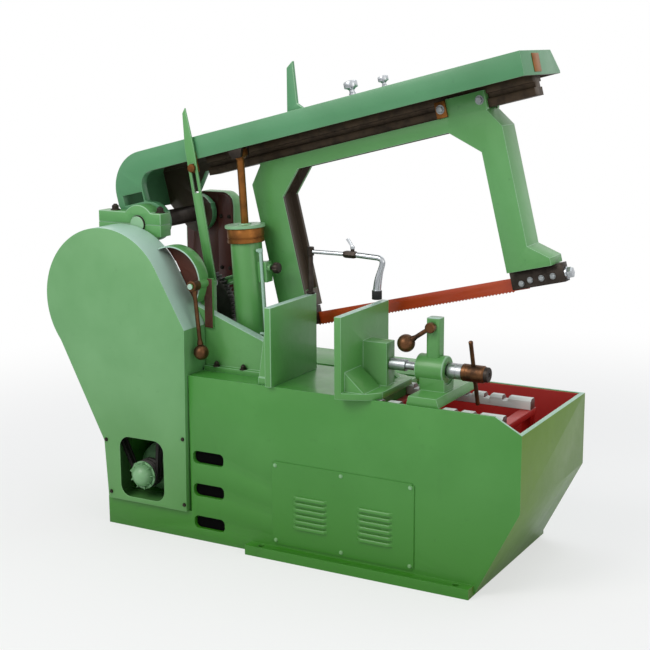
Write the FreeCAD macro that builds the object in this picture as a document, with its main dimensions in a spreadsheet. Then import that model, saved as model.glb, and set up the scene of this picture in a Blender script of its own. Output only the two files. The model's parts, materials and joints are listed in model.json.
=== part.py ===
import FreeCAD, Part
import Sketcher
import math
import os

# Power hacksaw, raised arm, millimetres.
# Sizes are taken from the left end (x), the front face (y) and the floor (z) of the base cabinet.
# The finished frame has its origin on the floor, at the centre of the four floor bolts.
# Arm and bow sizes are taken from the arm pivot: u runs along the arm, w square to it.

sizes = {
    # base cabinet
    "base_length": 1300,
    "base_depth": 486,
    "bed_height": 486,
    "rim_height": 446,
    "rim_fall": 72,
    "end_low": 242,
    "floor_length": 1178,
    "deck_length": 878,
    "cabinet_wall": 8,
    "tray_floor": 306,
    "tray_sheet": 3,
    "plinth_left": 500,
    "plinth_height": 28,
    "plinth_reach": 34,
    "floor_bolt_left": 545,
    "floor_bolt_right": 1135,
    "floor_bolt_radius": 9,
    "floor_bolt_setback": 17,
    "blade_slot_width": 18,
    "blade_slot_depth": 26,
    "blade_slot_left": 455,
    "vent_left": 308,
    "vent_width": 104,
    "vent_height": 38,
    "vent_low": 36,
    "vent_pitch": 97,
    "vent_depth": 42,
    "vent_corner": 14,
    "bay_left": 24,
    "bay_right": 286,
    "bay_high": 330,
    "bay_depth": 320,
    "panel_left": 572,
    "panel_right": 1008,
    "panel_low": 36,
    "panel_high": 277,
    "panel_sheet": 3,
    "louvre_count": 6,
    "louvre_pitch": 17,
    "louvre_low": 92,
    "louvre_first": 640,
    "louvre_second": 838,
    "louvre_length": 108,
    "louvre_rise": 9,
    "louvre_reach": 6,
    # arm pivot and its bearings
    "pivot_left": 66,
    "pivot_height": 890,
    "pivot_radius": 25,
    "front_column_front": 100,
    "front_column_back": 150,
    "front_column_left": -22,
    "column_foot_left": 2,
    "front_column_right": 104,
    "cap_radius": 56,
    "cap_flange_left": -77,
    "cap_flange_right": 146,
    "cap_flange_height": 34,
    "cap_bolt_radius": 7,
    "rear_column_front": 436,
    "rear_column_back": 482,
    "rear_column_left": 2,
    "rear_column_right": 181,
    "rear_column_top": 955,
    "rear_column_corner": 42,
    "cover_left": 64,
    "cover_sheet": 4,
    # web from the column to the fixed jaw
    "web_front": 94,
    "web_back": 126,
    "web_top": 676,
    "web_top_left": 248,
    "web_right": 560,
    "web_right_height": 560,
    # belt guard
    "guard_front": -14,
    "guard_back": 92,
    "guard_sheet": 3,
    "drum_radius": 212,
    "drum_left": 21,
    "drum_rise": 192,
    "guard_right": 298,
    "guard_low_left": 2,
    "guard_low": 84,
    "guard_waist": 258,
    "window_left": 58,
    "window_right": 214,
    "window_low": 98,
    "window_high": 280,
    "window_corner": 34,
    # belt drive
    "pulley_radius": 178,
    "pulley_width": 44,
    "pulley_front": 18,
    "countershaft_radius": 17.5,
    "motor_left": 118,
    "motor_height": 160,
    "motor_radius": 74,
    "motor_front": 92,
    "motor_length": 190,
    "motor_pulley_radius": 42,
    "motor_shaft_radius": 12,
    "belt_width": 13,
    "belt_pitch": 17,
    "belt_clearance": 0.6,
    # gears and crank
    "gear_module": 4,
    "gear_teeth": 62,
    "pinion_teeth": 17,
    "gear_front": 250,
    "gear_width": 26,
    "gear_drop": 56.5,
    "gear_well": 20,
    "crank_throw": 75,
    "crank_angle": 66.5,
    "crank_pin_radius": 12,
    "crank_shaft_radius": 22,
    "bracket_front": 196,
    "bracket_back": 240,
    "bracket_sheet": 30,
    "rod_thick": 24,
    "rod_height": 26,
    "rod_eye": 26,
    # arm
    "arm_raise": 13.8,
    "arm_front": 163,
    "arm_width": 264,
    "arm_low": 145,
    "arm_high": 208,
    "arm_length": 1225,
    "arm_wall": 12,
    "arm_chamfer": 42,
    "arm_elbow_left": -102,
    "arm_elbow_inner": -4,
    "arm_elbow_radius": 112,
    "arm_throat_radius": 42,
    "cheek_width": 25,
    "far_skirt_drop": 28,
    "far_skirt_left": 20,
    "far_skirt_end": 330,
    "hub_radius": 58,
    "slideway_width": 58,
    "slideway_low": 95,
    "slideway_left": 170,
    "slideway_right": 1206,
    "keeper_groove": 12,
    "keeper_low": 117,
    "keeper_high": 131,
    "slide_clearance": 0.3,
    "horn_left": 530,
    "horn_width": 36,
    "horn_height": 116,
    "horn_thick": 12,
    "horn_flare": 14,
    "oil_cup_first": 734,
    "oil_cup_second": 832,
    "oil_cup_radius": 19,
    "oil_cup_height": 40,
    "plate_size": 48,
    # bow
    "blade_plane": 295,
    "bow_width": 87,
    "bow_low": 54,
    "bow_left": 317,
    "bow_left_inner": 410,
    "bow_right_inner": 1034,
    "bow_right": 1105,
    "bow_foot": -340,
    "bow_foot_right": 1160,
    "bow_recess": 20,
    "bow_flange": 11,
    "saddle_left": 962,
    "saddle_right": 1074,
    "saddle_high": 141,
    "blade_height": 38,
    "blade_thick": 2,
    "blade_top": -359,
    "blade_left": 372,
    "blade_right": 1072,
    "holder_height": 50,
    "holder_thick": 16,
    "holder_right_length": 150,
    "holder_left_length": 138,
    "blade_bolt_radius": 5,
    "bow_pin_left": 290,
    "bow_pin_low": -206,
    "bow_pin_radius": 11,
    "bow_ear_thick": 22,
    # lift cylinder
    "lift_y": 190,
    "lift_foot_left": 400,
    "lift_foot_height": 526,
    "lift_radius": 45,
    "lift_length": 300,
    "lift_cap_radius": 58,
    "lift_cap_height": 42,
    "lift_flange_height": 9,
    "lift_rod_radius": 11,
    "lift_pin_along": 339.5,
    "lift_pin_drop": 11.3,
    "lift_pin_radius": 9,
    "lift_bore": 13,
    # trip bar and control lever
    "trip_front": 150,
    "trip_thick": 6,
    "trip_left": 285,
    "trip_height": 726,
    "trip_length": 505,
    "trip_width": 30,
    "trip_pin_along": 196.3,
    "trip_pin_drop": 23.3,
    "trip_slot": 72,
    "trip_pin_radius": 6,
    "lever_left": 305,
    "lever_drop": 3,
    "lever_front": 30,
    "lever_length": 190,
    "lever_tilt": 6,
    "lever_radius": 6,
    "ball_radius": 22,
    "hood_left": 212,
    "hood_rise": 64,
    "hood_radius": 100,
    "hood_front": 50,
    # vise
    "jaw_front": -37,
    "fixed_jaw_front": -12,
    "jaw_back": 243,
    "jaw_top": 707,
    "jaw_plate": 20,
    "fixed_jaw_face": 580,
    "fixed_jaw_body": 34,
    "moving_jaw_face": 789,
    "moving_jaw_foot": 92,
    "screw_y": 113,
    "screw_rise": 78,
    "screw_radius": 16,
    "screw_core": 11,
    "screw_collar_radius": 21,
    "screw_hub_radius": 23,
    "screw_left": 880,
    "boss_half": 24,
    "boss_rise": 60,
    "nut_left": 966,
    "nut_right": 1047,
    "nut_radius": 38,
    "collar_length": 40,
    "hub_length": 72,
    "tommy_radius": 6,
    "tommy_length": 190,
    "tommy_tilt": 17,
    "post_size": 38,
    "post_top": 700,
    "latch_drop": 48,
    "latch_reach": 70,
    "rack_left": 880,
    "rack_right": 1243,
    "rack_width": 30,
    "rack_chamfer": 6,
    "rack_height": 30,
    "rack_top": 484,
    "rack_front_y": 27,
    "rack_rear_y": 226,
    "rack_pitch": 52,
    "rack_notch": 20,
    "rack_notch_depth": 12,
    # coolant
    "coolant_y": 228,
    "coolant_post_radius": 7,
    "coolant_height": 828,
    "coolant_pipe_radius": 6,
    "coolant_elbow": 228,
    "nozzle_length": 94,
    "nozzle_lean": 18,
    # running fit and small gap between pieces of different bodies
    "running_fit": 0.05,
    "gap": 0.4,
}

doc = FreeCAD.newDocument("power_hacksaw")
sheet = doc.addObject("Spreadsheet::Sheet", "Sizes")
for row, (name, value) in enumerate(sizes.items(), 1):
    sheet.set("A%d" % row, name)
    sheet.set("B%d" % row, str(value))
    sheet.setAlias("B%d" % row, name)
doc.recompute()


class Size:
    """A length with the sheet expression that it comes from."""

    def __init__(self, value, text=None):
        self.value = float(value)
        self.text = text or repr(float(value))

    def join(self, other, sign, value):
        return Size(value, "(%s %s %s)" % (self.text, sign, other.text))

    def __add__(self, other):
        other = as_size(other)
        return self.join(other, "+", self.value + other.value)

    def __sub__(self, other):
        other = as_size(other)
        return self.join(other, "-", self.value - other.value)

    def __mul__(self, other):
        other = as_size(other)
        return self.join(other, "*", self.value * other.value)

    def __truediv__(self, other):
        other = as_size(other)
        return self.join(other, "/", self.value / other.value)

    def __radd__(self, other):
        return as_size(other) + self

    def __rsub__(self, other):
        return as_size(other) - self

    def __rmul__(self, other):
        return as_size(other) * self

    def __neg__(self):
        return Size(-self.value, "(-1 * %s)" % self.text)


def as_size(number):
    return number if isinstance(number, Size) else Size(number)


class Sheet:
    """Gives each named cell as a Size."""

    def __getattr__(self, name):
        return Size(sheet.get(name), "Sizes." + name)


def sine(angle):
    return Size(math.sin(math.radians(angle.value)), "sin(%s)" % angle.text)


def cosine(angle):
    return Size(math.cos(math.radians(angle.value)), "cos(%s)" % angle.text)


def reach_and_tilt(x, z, along, square):
    """Distance and lean of the line from a fixed pin to a pin on the raised arm."""
    across = x - (d.pivot_left + along * cosine(d.arm_raise) - square * sine(d.arm_raise))
    rise = d.pivot_height + along * sine(d.arm_raise) + square * cosine(d.arm_raise) - z
    reach = Size(math.hypot(across.value, rise.value),
                 "sqrt(%s * %s + %s * %s)" % (across.text, across.text, rise.text, rise.text))
    tilt = Size(math.degrees(math.atan2(across.value, rise.value)), "atan2(%s; %s)" % (across.text, rise.text))
    return reach, tilt


d = Sheet()
datum_x = (d.floor_bolt_left + d.floor_bolt_right) / 2
datum_y = d.base_depth / 2
drum_height = d.bed_height + d.drum_rise
hood_height = drum_height + d.hood_rise
lever_height = hood_height - d.lever_drop
screw_height = d.rack_top + d.screw_rise
lift_pin = d.lift_pin_along, d.arm_low - d.lift_pin_drop
lift_reach, lift_tilt = reach_and_tilt(d.lift_foot_left, d.lift_foot_height, *lift_pin)
trip_pin = d.trip_pin_along, d.arm_low - d.trip_pin_drop
trip_pin_up, trip_tilt = reach_and_tilt(d.trip_left, d.trip_height, *trip_pin)


def seat(piece, x=0, y=0, z=0, tilt=0):
    """Places a piece by its own origin; tilt lifts its +x end."""
    place = [as_size(x) - datum_x, as_size(y) - datum_y, as_size(z)]
    angle = -as_size(tilt)
    point = FreeCAD.Vector(*[p.value for p in place])
    piece.Placement = FreeCAD.Placement(point, FreeCAD.Rotation(FreeCAD.Vector(0, 1, 0), angle.value))
    for axis, p in zip("xyz", place):
        piece.setExpression("Placement.Base." + axis, p.text)
    if angle.value:
        piece.setExpression("Placement.Rotation.Angle", angle.text)
    return piece


def on_arm(piece):
    return seat(piece, d.pivot_left, 0, d.pivot_height, d.arm_raise)


def on_lift(piece):
    return seat(piece, d.lift_foot_left, d.lift_y, d.lift_foot_height, lift_tilt)


def new_body(name):
    body = doc.addObject("PartDesign::Body", name)
    body.Label = name
    return body


planes = {"front": ("XZ_Plane", -1), "top": ("XY_Plane", 1), "side": ("YZ_Plane", 1)}


def new_sketch(body, plane, level):
    role, sign = planes[plane]
    sketch = body.newObject("Sketcher::SketchObject", body.Name + "_sketch")
    support = [f for f in body.Origin.OriginFeatures if f.Role == role][0]
    sketch.AttachmentSupport = (support, [""])
    sketch.MapMode = "FlatFace"
    offset = as_size(level) * sign
    sketch.AttachmentOffset = FreeCAD.Placement(FreeCAD.Vector(0, 0, offset.value), FreeCAD.Rotation())
    sketch.setExpression("AttachmentOffset.Base.z", offset.text)
    return sketch


def pin_point(sketch, edge, point, x, y):
    """Ties a point of the sketch to the origin by its two distances."""
    for kind, axis, distance in (("DistanceX", -2, as_size(x)), ("DistanceY", -1, as_size(y))):
        if distance.text == "0.0":
            sketch.addConstraint(Sketcher.Constraint("PointOnObject", edge, point, axis))
            continue
        index = sketch.addConstraint(Sketcher.Constraint(kind, -1, 1, edge, point, distance.value))
        sketch.setExpression("Constraints[%d]" % index, distance.text)


def polygon(sketch, points):
    points = [(as_size(x), as_size(y)) for x, y in points]
    vectors = [FreeCAD.Vector(x.value, y.value, 0) for x, y in points]
    first = sketch.GeometryCount
    count = len(points)
    for i in range(count):
        sketch.addGeometry(Part.LineSegment(vectors[i], vectors[(i + 1) % count]), False)
    for i in range(count):
        sketch.addConstraint(Sketcher.Constraint("Coincident", first + i, 2, first + (i + 1) % count, 1))
    for i, (x, y) in enumerate(points):
        pin_point(sketch, first + i, 1, x, y)


def circle(sketch, x, y, radius):
    x, y, radius = as_size(x), as_size(y), as_size(radius)
    centre = FreeCAD.Vector(x.value, y.value, 0)
    edge = sketch.addGeometry(Part.Circle(centre, FreeCAD.Vector(0, 0, 1), radius.value), False)
    pin_point(sketch, edge, 3, x, y)
    index = sketch.addConstraint(Sketcher.Constraint("Radius", edge, radius.value))
    sketch.setExpression("Constraints[%d]" % index, radius.text)


def draw(sketch, outline):
    if isinstance(outline, tuple):
        circle(sketch, *outline)
    else:
        polygon(sketch, outline)


def add(body, plane, start, stop, *outlines):
    """Pads outlines from start to stop: a list of points, or (x, y, radius)."""
    for outline in outlines:
        sketch = new_sketch(body, plane, start)
        draw(sketch, outline)
        pad = body.newObject("PartDesign::Pad", body.Name + "_pad")
        pad.Profile = sketch
        pad.Reversed = planes[plane][1] < 0
        length = as_size(stop) - start
        pad.Length = length.value
        pad.setExpression("Length", length.text)
    return body


def cut(body, plane, start, stop, *outlines):
    """Cuts outlines from start to stop."""
    for outline in outlines:
        sketch = new_sketch(body, plane, start)
        draw(sketch, outline)
        pocket = body.newObject("PartDesign::Pocket", body.Name + "_pocket")
        pocket.Profile = sketch
        pocket.Reversed = planes[plane][1] > 0
        length = as_size(stop) - start
        pocket.Length = length.value
        pocket.setExpression("Length", length.text)
    return body


def spin(body, axis, profile):
    """Turns a closed profile of (radius, station) points about the body's own axis."""
    sketch = new_sketch(body, "front" if axis == "z" else "top", 0)
    if axis == "x":
        profile = [(station, radius) for radius, station in profile]
    polygon(sketch, profile)
    turn = body.newObject("PartDesign::Revolution", body.Name + "_turn")
    turn.Profile = sketch
    turn.ReferenceAxis = (sketch, ["H_Axis" if axis == "x" else "V_Axis"])
    turn.Angle = 360
    return body


def box(left, right, low, high):
    """Four corners of an upright rectangle."""
    return [(left, low), (right, low), (right, high), (left, high)]


def round_edges(body, radius, along, spots, reach=0.5):
    """Rounds the edges that run along an axis through the given spots of the two other axes."""
    doc.recompute()
    radius = as_size(radius)
    base = body.Tip
    others = [i for i in range(3) if i != "xyz".index(along)]
    names = []
    for number, edge in enumerate(base.Shape.Edges, 1):
        bounds = edge.BoundBox
        lengths = (bounds.XLength, bounds.YLength, bounds.ZLength)
        centre = (bounds.Center.x, bounds.Center.y, bounds.Center.z)
        if max(lengths[i] for i in others) > 0.01:
            continue
        for spot in spots:
            gaps = [abs(centre[i] - as_size(s).value) for i, s in zip(others, spot)]
            if max(gaps) < reach:
                names.append("Edge%d" % number)
                break
    fillet = body.newObject("PartDesign::Fillet", body.Name + "_round")
    fillet.Base = (base, names)
    fillet.Radius = radius.value
    fillet.setExpression("Radius", radius.text)
    return body


def repeat(body, feature, plane, axis, length, count):
    """Repeats a feature in a straight row along a sketch axis of its own sketch."""
    pattern = body.newObject("PartDesign::LinearPattern", body.Name + "_row")
    pattern.Originals = [feature]
    pattern.Direction = (feature.Profile[0], [axis])
    pattern.Length = length.value
    pattern.setExpression("Length", length.text)
    pattern.Occurrences = int(count.value)
    pattern.setExpression("Occurrences", count.text)
    body.Tip = pattern
    return body


def hexagon(x, y, across):
    """Corners of a hexagon by its width across flats."""
    corner = as_size(across) / math.sqrt(3)
    turns = [math.radians(60 * i) for i in range(6)]
    return [(as_size(x) + corner * math.cos(t), as_size(y) + corner * math.sin(t)) for t in turns]


# base cabinet and what is bolted to it
def make_base_cabinet():
    body = new_body("base_cabinet")
    side = [(0, 0), (d.floor_length, 0), (d.base_length, d.end_low), (d.base_length, d.rim_height),
            (d.base_length - d.rim_fall, d.bed_height), (0, d.bed_height)]
    add(body, "front", 0, d.base_depth, side)
    wall = d.cabinet_wall
    cut(body, "front", wall, d.base_depth - wall,
        box(d.deck_length, d.base_length - wall, d.tray_floor, d.bed_height + wall))
    cut(body, "front", d.base_depth - 2 * wall, d.base_depth,
        box(d.deck_length, d.base_length, d.rim_height, d.bed_height + wall))
    # floor flanges with the bolt holes, front and back
    for start, stop, hole in (
            (-d.plinth_reach, 0, -d.floor_bolt_setback),
            (d.base_depth, d.base_depth + d.plinth_reach, d.base_depth + d.floor_bolt_setback)):
        add(body, "front", start, stop, box(d.plinth_left, d.floor_length, 0, d.plinth_height))
        cut(body, "top", 0, d.plinth_height,
            (d.floor_bolt_left, hole, d.floor_bolt_radius), (d.floor_bolt_right, hole, d.floor_bolt_radius))
    # recess that takes the belt guard, and the motor bay behind it
    cut(body, "front", 0, d.guard_back + d.gap,
        box(0, d.guard_right + 2 * d.gap, d.guard_low - 2 * d.gap, d.bed_height))
    cut(body, "front", d.guard_back, d.bay_depth, box(d.bay_left, d.bay_right, d.guard_low, d.bay_high))
    # well in the deck below the crank gear
    x, z = crank_centre()
    tip = d.gear_module * (d.gear_teeth / 2 + 1)
    cut(body, "front", d.gear_front - 8, d.gear_front + d.gear_width + 8,
        box(x - tip * 0.7, x + tip * 0.7, z - tip - d.gear_well, d.bed_height))
    # vents
    middle = d.vent_left + d.vent_width
    for i in range(3):
        low = d.vent_low + d.vent_pitch * i
        cut(body, "front", 0, d.vent_depth, box(d.vent_left, middle, low, low + d.vent_height))
    corners = []
    for i in range(3):
        low = d.vent_low + d.vent_pitch * i
        corners += [(x, z) for x in (d.vent_left, middle) for z in (low, low + d.vent_height)]
    round_edges(body, d.vent_corner, "y", corners)
    # slot that lets the teeth pass just below the deck
    half = d.blade_slot_width / 2
    cut(body, "front", d.blade_plane - half, d.blade_plane + half,
        box(d.blade_slot_left, d.deck_length, d.bed_height - d.blade_slot_depth, d.bed_height))
    return seat(body)


def make_chip_tray():
    body = new_body("chip_tray")
    wall, sheet_gap = d.cabinet_wall, d.gap
    left, right = d.deck_length + sheet_gap, d.base_length - wall - sheet_gap
    low, high = d.tray_floor, d.rim_height - 2
    front, back = wall + sheet_gap, d.base_depth - wall - sheet_gap
    add(body, "front", front, back, box(left, right, low, high))
    cut(body, "front", front + d.tray_sheet, back - d.tray_sheet,
        box(left + d.tray_sheet, right - d.tray_sheet, low + d.tray_sheet, high + 1))
    return seat(body)


def make_service_panel():
    body = new_body("service_panel")
    add(body, "front", -d.panel_sheet, 0, box(d.panel_left, d.panel_right, d.panel_low, d.panel_high))
    count = d.louvre_count
    for first in (d.louvre_first, d.louvre_second):
        front = -d.panel_sheet
        lip = [(front, d.louvre_low), (front - d.louvre_reach, d.louvre_low), (front, d.louvre_low + d.louvre_rise)]
        add(body, "side", first, first + d.louvre_length, lip)
        repeat(body, body.Tip, "side", "V_Axis", d.louvre_pitch * (count - 1), count)
    return seat(body)


# bearings of the arm
def make_headstock():
    body = new_body("headstock")
    deck = d.bed_height
    left, right = d.front_column_left, d.front_column_right
    front, back = d.front_column_front, d.front_column_back
    column = [(d.column_foot_left, deck), (right, deck), (right, d.pivot_height), (left, d.pivot_height),
              (left, drum_height - 60), (d.column_foot_left, drum_height - 120)]
    add(body, "front", front, back, column)
    add(body, "front", front, back,
        box(d.cap_flange_left, d.cap_flange_right, d.pivot_height - d.cap_flange_height, d.pivot_height))
    web = [(right - 30, deck), (d.web_right, deck), (d.web_right, d.web_right_height),
           (d.web_top_left, d.web_top), (right, d.web_top + 36), (right - 30, d.web_top + 36)]
    add(body, "front", d.web_front, d.web_back, web)
    # foot flanges of the web on the deck
    clear_of_guard = d.guard_right + 4
    add(body, "top", deck, deck + 14, box(right, d.web_right, d.web_front, d.web_back + 18))
    add(body, "top", deck, deck + 14, box(clear_of_guard, d.web_right, d.web_front - 18, d.web_front))
    # ear that carries the trip bar
    ear = d.trip_left
    add(body, "front", d.web_back - 8, d.trip_front - d.gap,
        [(ear - 17, d.web_right_height), (ear + 17, d.web_right_height), (ear + 17, d.trip_height),
         (ear + 9, d.trip_height + 16), (ear - 9, d.trip_height + 16), (ear - 17, d.trip_height)])
    cut(body, "front", d.web_back - 8, d.trip_front, (ear, d.trip_height, d.trip_pin_radius))
    # bores of the pivot shaft and of the countershaft
    cut(body, "front", front, back, (d.pivot_left, d.pivot_height, d.pivot_radius))
    cut(body, "front", d.web_front, back, (d.drum_left, drum_height, d.countershaft_radius + d.running_fit))
    return seat(body)


def make_front_bearing_cap():
    body = new_body("front_bearing_cap")
    low = d.pivot_height
    add(body, "front", d.front_column_front, d.front_column_back,
        box(d.cap_flange_left, d.cap_flange_right, low, low + d.cap_flange_height))
    add(body, "front", d.front_column_front, d.front_column_back, (d.pivot_left, low, d.cap_radius))
    cut(body, "front", d.front_column_front, d.front_column_back,
        box(d.cap_flange_left, d.cap_flange_right, low - 2 * d.cap_radius, low))
    cut(body, "front", d.front_column_front, d.front_column_back, (d.pivot_left, low, d.pivot_radius))
    return seat(body)


def make_cap_bolts():
    body = new_body("cap_bolts")
    y = (d.front_column_front + d.front_column_back) / 2
    seat_level = d.pivot_height + d.cap_flange_height
    margin = (d.pivot_left - d.cap_radius - d.cap_flange_left) / 2
    for x in (d.cap_flange_left + margin, d.cap_flange_right - 2.5 * d.cap_bolt_radius):
        add(body, "top", seat_level, seat_level + 3, (x, y, 2 * d.cap_bolt_radius))
        add(body, "top", seat_level + 3, seat_level + 15, hexagon(x, y, 3 * d.cap_bolt_radius))
    return seat(body)


def make_rear_column():
    body = new_body("rear_column")
    left, right, top = d.rear_column_left, d.rear_column_right, d.rear_column_top
    shoulder = d.pivot_height + d.cap_radius
    side = [(left, d.bed_height), (right, d.bed_height), (right, top), (d.cover_left, top),
            (d.cover_left - 8, shoulder), (left, shoulder)]
    add(body, "front", d.rear_column_front, d.rear_column_back, side)
    round_edges(body, d.rear_column_corner, "y", [(right, top), (left, shoulder)])
    cut(body, "front", d.rear_column_front, d.rear_column_back, (d.pivot_left, d.pivot_height, d.pivot_radius))
    return seat(body)


def make_gear_cover():
    body = new_body("gear_cover")
    left, right, top = d.pivot_left + d.hub_radius, d.rear_column_right - 6, d.rear_column_top - 6
    add(body, "front", d.rear_column_front - d.cover_sheet, d.rear_column_front,
        box(left, right, d.bed_height + 30, top))
    round_edges(body, d.rear_column_corner - 6, "y", [(right, top)])
    return seat(body)


def make_pivot_shaft():
    body = new_body("pivot_shaft")
    front, back = d.front_column_front - 6, d.rear_column_back + 6
    radius, chamfer = d.pivot_radius, 2
    spin(body, "y", [(0, front), (radius - chamfer, front), (radius, front + chamfer), (radius, back - chamfer),
                     (radius - chamfer, back), (0, back)])
    return seat(body, d.pivot_left, 0, d.pivot_height)


def make_gear_bracket():
    """Inner bearing bracket of the countershaft and the crank gear."""
    body = new_body("gear_bracket")
    front, back = d.bracket_front, d.bracket_front + d.bracket_sheet
    crank_x, crank_z = crank_centre()
    low = d.bed_height
    sheet_outline = [(d.column_foot_left, low), (crank_x + 56, low), (crank_x + 40, crank_z + 30),
                     (d.drum_left + 44, drum_height + 44), (d.drum_left - 44, drum_height + 44),
                     (d.drum_left - 44, drum_height - 44), (d.column_foot_left, drum_height - 110)]
    add(body, "front", front, back, sheet_outline)
    add(body, "front", front, d.bracket_back, (crank_x, crank_z, d.crank_shaft_radius + 18))
    add(body, "front", front, d.bracket_back, (d.drum_left, drum_height, d.countershaft_radius + 18))
    add(body, "top", low, low + 14, box(d.column_foot_left, crank_x + 76, front - 16, d.bracket_back))
    cut(body, "front", front - 1, d.bracket_back,
        (crank_x, crank_z, d.crank_shaft_radius + d.running_fit),
        (d.drum_left, drum_height, d.countershaft_radius + d.running_fit))
    return seat(body)


# belt guard, motor and belts
def guard_outline(inset):
    """Body of the guard below its round drum."""
    inset = as_size(inset)
    centre_x, centre_z = d.drum_left, drum_height
    radius = d.drum_radius - inset
    right_lean, left_lean = math.radians(32), math.radians(196)
    return [(d.guard_low_left + 10 + inset, d.guard_low + inset), (d.guard_right - 8 - inset, d.guard_low + inset),
            (d.guard_right - inset, centre_z - 60),
            (centre_x + radius * math.cos(right_lean), centre_z + radius * math.sin(right_lean)),
            (centre_x + radius * math.cos(left_lean), centre_z + radius * math.sin(left_lean)),
            (d.guard_low_left + inset, d.guard_waist)]


def make_belt_guard():
    body = new_body("belt_guard")
    front, back, skin = d.guard_front, d.guard_back, d.guard_sheet
    add(body, "front", front, back, guard_outline(0))
    add(body, "front", front, back, (d.drum_left, drum_height, d.drum_radius))
    cut(body, "front", front + skin, back, guard_outline(skin))
    cut(body, "front", front + skin, back, (d.drum_left, drum_height, d.drum_radius - skin))
    cut(body, "front", front, front + skin, box(d.window_left, d.window_right, d.window_low, d.window_high))
    corners = [(x, z) for x in (d.window_left, d.window_right) for z in (d.window_low, d.window_high)]
    round_edges(body, d.window_corner, "y", corners)
    return seat(body)


def make_guard_backplate():
    body = new_body("guard_backplate")
    back = d.guard_back - d.gap
    inset = d.guard_sheet + d.gap
    low = d.bay_high + 20
    add(body, "front", back - d.guard_sheet, back, guard_outline(inset))
    add(body, "front", back - d.guard_sheet, back, (d.drum_left, drum_height, d.drum_radius - inset))
    cut(body, "front", back - d.guard_sheet, back, box(-d.drum_radius, d.guard_right + 10, d.guard_low - 10, low))
    cut(body, "front", back - d.guard_sheet, back, (d.drum_left, drum_height, d.countershaft_radius + 8))
    return seat(body)


def make_motor():
    body = new_body("motor")
    front, back = d.motor_front, d.motor_front + d.motor_length
    radius = d.motor_radius
    bore = d.motor_shaft_radius + d.running_fit
    spin(body, "y", [(bore, front), (radius - 26, front), (radius - 4, front + 14),
                     (radius - 4, front + 26), (radius, front + 26), (radius, back - 40),
                     (radius - 6, back - 40), (radius - 6, back - 10), (radius - 22, back),
                     (bore, back)])
    # foot rails of the motor
    for x in (-radius + 6, radius - 34):
        add(body, "front", front + 34, back - 50, box(x, x + 28, d.guard_low - d.motor_height, 18 - radius))
    return seat(body, d.motor_left, 0, d.motor_height)


def pulley_profile(radius, width, bore, hub, web):
    """Half section of a two groove pulley about its shaft."""
    edge = (width - 2 * d.belt_width - (d.belt_pitch - d.belt_width)) / 2
    depth = 11
    slope = 2.2
    points = [(bore, 0), (hub, 0), (hub, (width - web) / 2), (radius - 22, (width - web) / 2), (radius - 22, 0),
              (radius, 0)]
    station = edge
    for i in range(2):
        points += [(radius, station), (radius - depth, station + slope),
                   (radius - depth, station + d.belt_width - slope), (radius, station + d.belt_width)]
        station = station + d.belt_pitch
    points += [(radius, width), (radius - 22, width), (radius - 22, (width + web) / 2), (hub, (width + web) / 2),
               (hub, width), (bore, width)]
    return points


def make_belt_pulley():
    body = new_body("belt_pulley")
    profile = pulley_profile(d.pulley_radius, d.pulley_width, d.countershaft_radius, as_size(38), as_size(12))
    spin(body, "y", profile)
    # lightening holes of the web
    reach = (d.pulley_radius + 16) / 2
    for i in range(5):
        turn = math.radians(72 * i)
        cut(body, "front", 0, d.pulley_width, (reach * math.cos(turn), reach * math.sin(turn), d.pulley_radius / 6))
    return seat(body, d.drum_left, d.pulley_front, drum_height)


def make_countershaft():
    body = new_body("countershaft")
    front, back, radius = d.guard_front + 14, d.gear_front + d.gear_width, d.countershaft_radius
    spin(body, "y", [(0, front), (radius - 2, front), (radius, front + 2), (radius, back - 2), (radius - 2, back),
                     (0, back)])
    return seat(body, d.drum_left, 0, drum_height)


def make_motor_pulley():
    body = new_body("motor_pulley")
    width = d.pulley_width
    profile = pulley_profile(d.motor_pulley_radius, width, as_size(0), as_size(18), width)
    spin(body, "y", [(0, 0), (12, 0), (16, 4), (16, 0), (d.motor_pulley_radius - 8, 0)] + profile[5:-6]
         + [(d.motor_pulley_radius, width), (d.motor_shaft_radius, width),
            (d.motor_shaft_radius, d.motor_front + d.motor_length - d.pulley_front - 30),
            (0, d.motor_front + d.motor_length - d.pulley_front - 30)])
    return seat(body, d.motor_left, d.pulley_front, d.motor_height)


def tangent_loop(x1, z1, r1, x2, z2, r2):
    """Outer loop round two circles, as a wire in the front plane."""
    dx, dz = x2 - x1, z2 - z1
    span = math.hypot(dx, dz)
    lean, half = math.atan2(dz, dx), math.acos((r1 - r2) / span)
    def at(x, z, r, turn):
        return FreeCAD.Vector(x + r * math.cos(turn), 0, z + r * math.sin(turn))
    top1, top2 = at(x1, z1, r1, lean + half), at(x2, z2, r2, lean + half)
    low1, low2 = at(x1, z1, r1, lean - half), at(x2, z2, r2, lean - half)
    far1, far2 = at(x1, z1, r1, lean + math.pi), at(x2, z2, r2, lean)
    return Part.Wire([Part.LineSegment(top1, top2).toShape(), Part.Arc(top2, far2, low2).toShape(),
                      Part.LineSegment(low2, low1).toShape(), Part.Arc(low1, far1, top1).toShape()])


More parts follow.
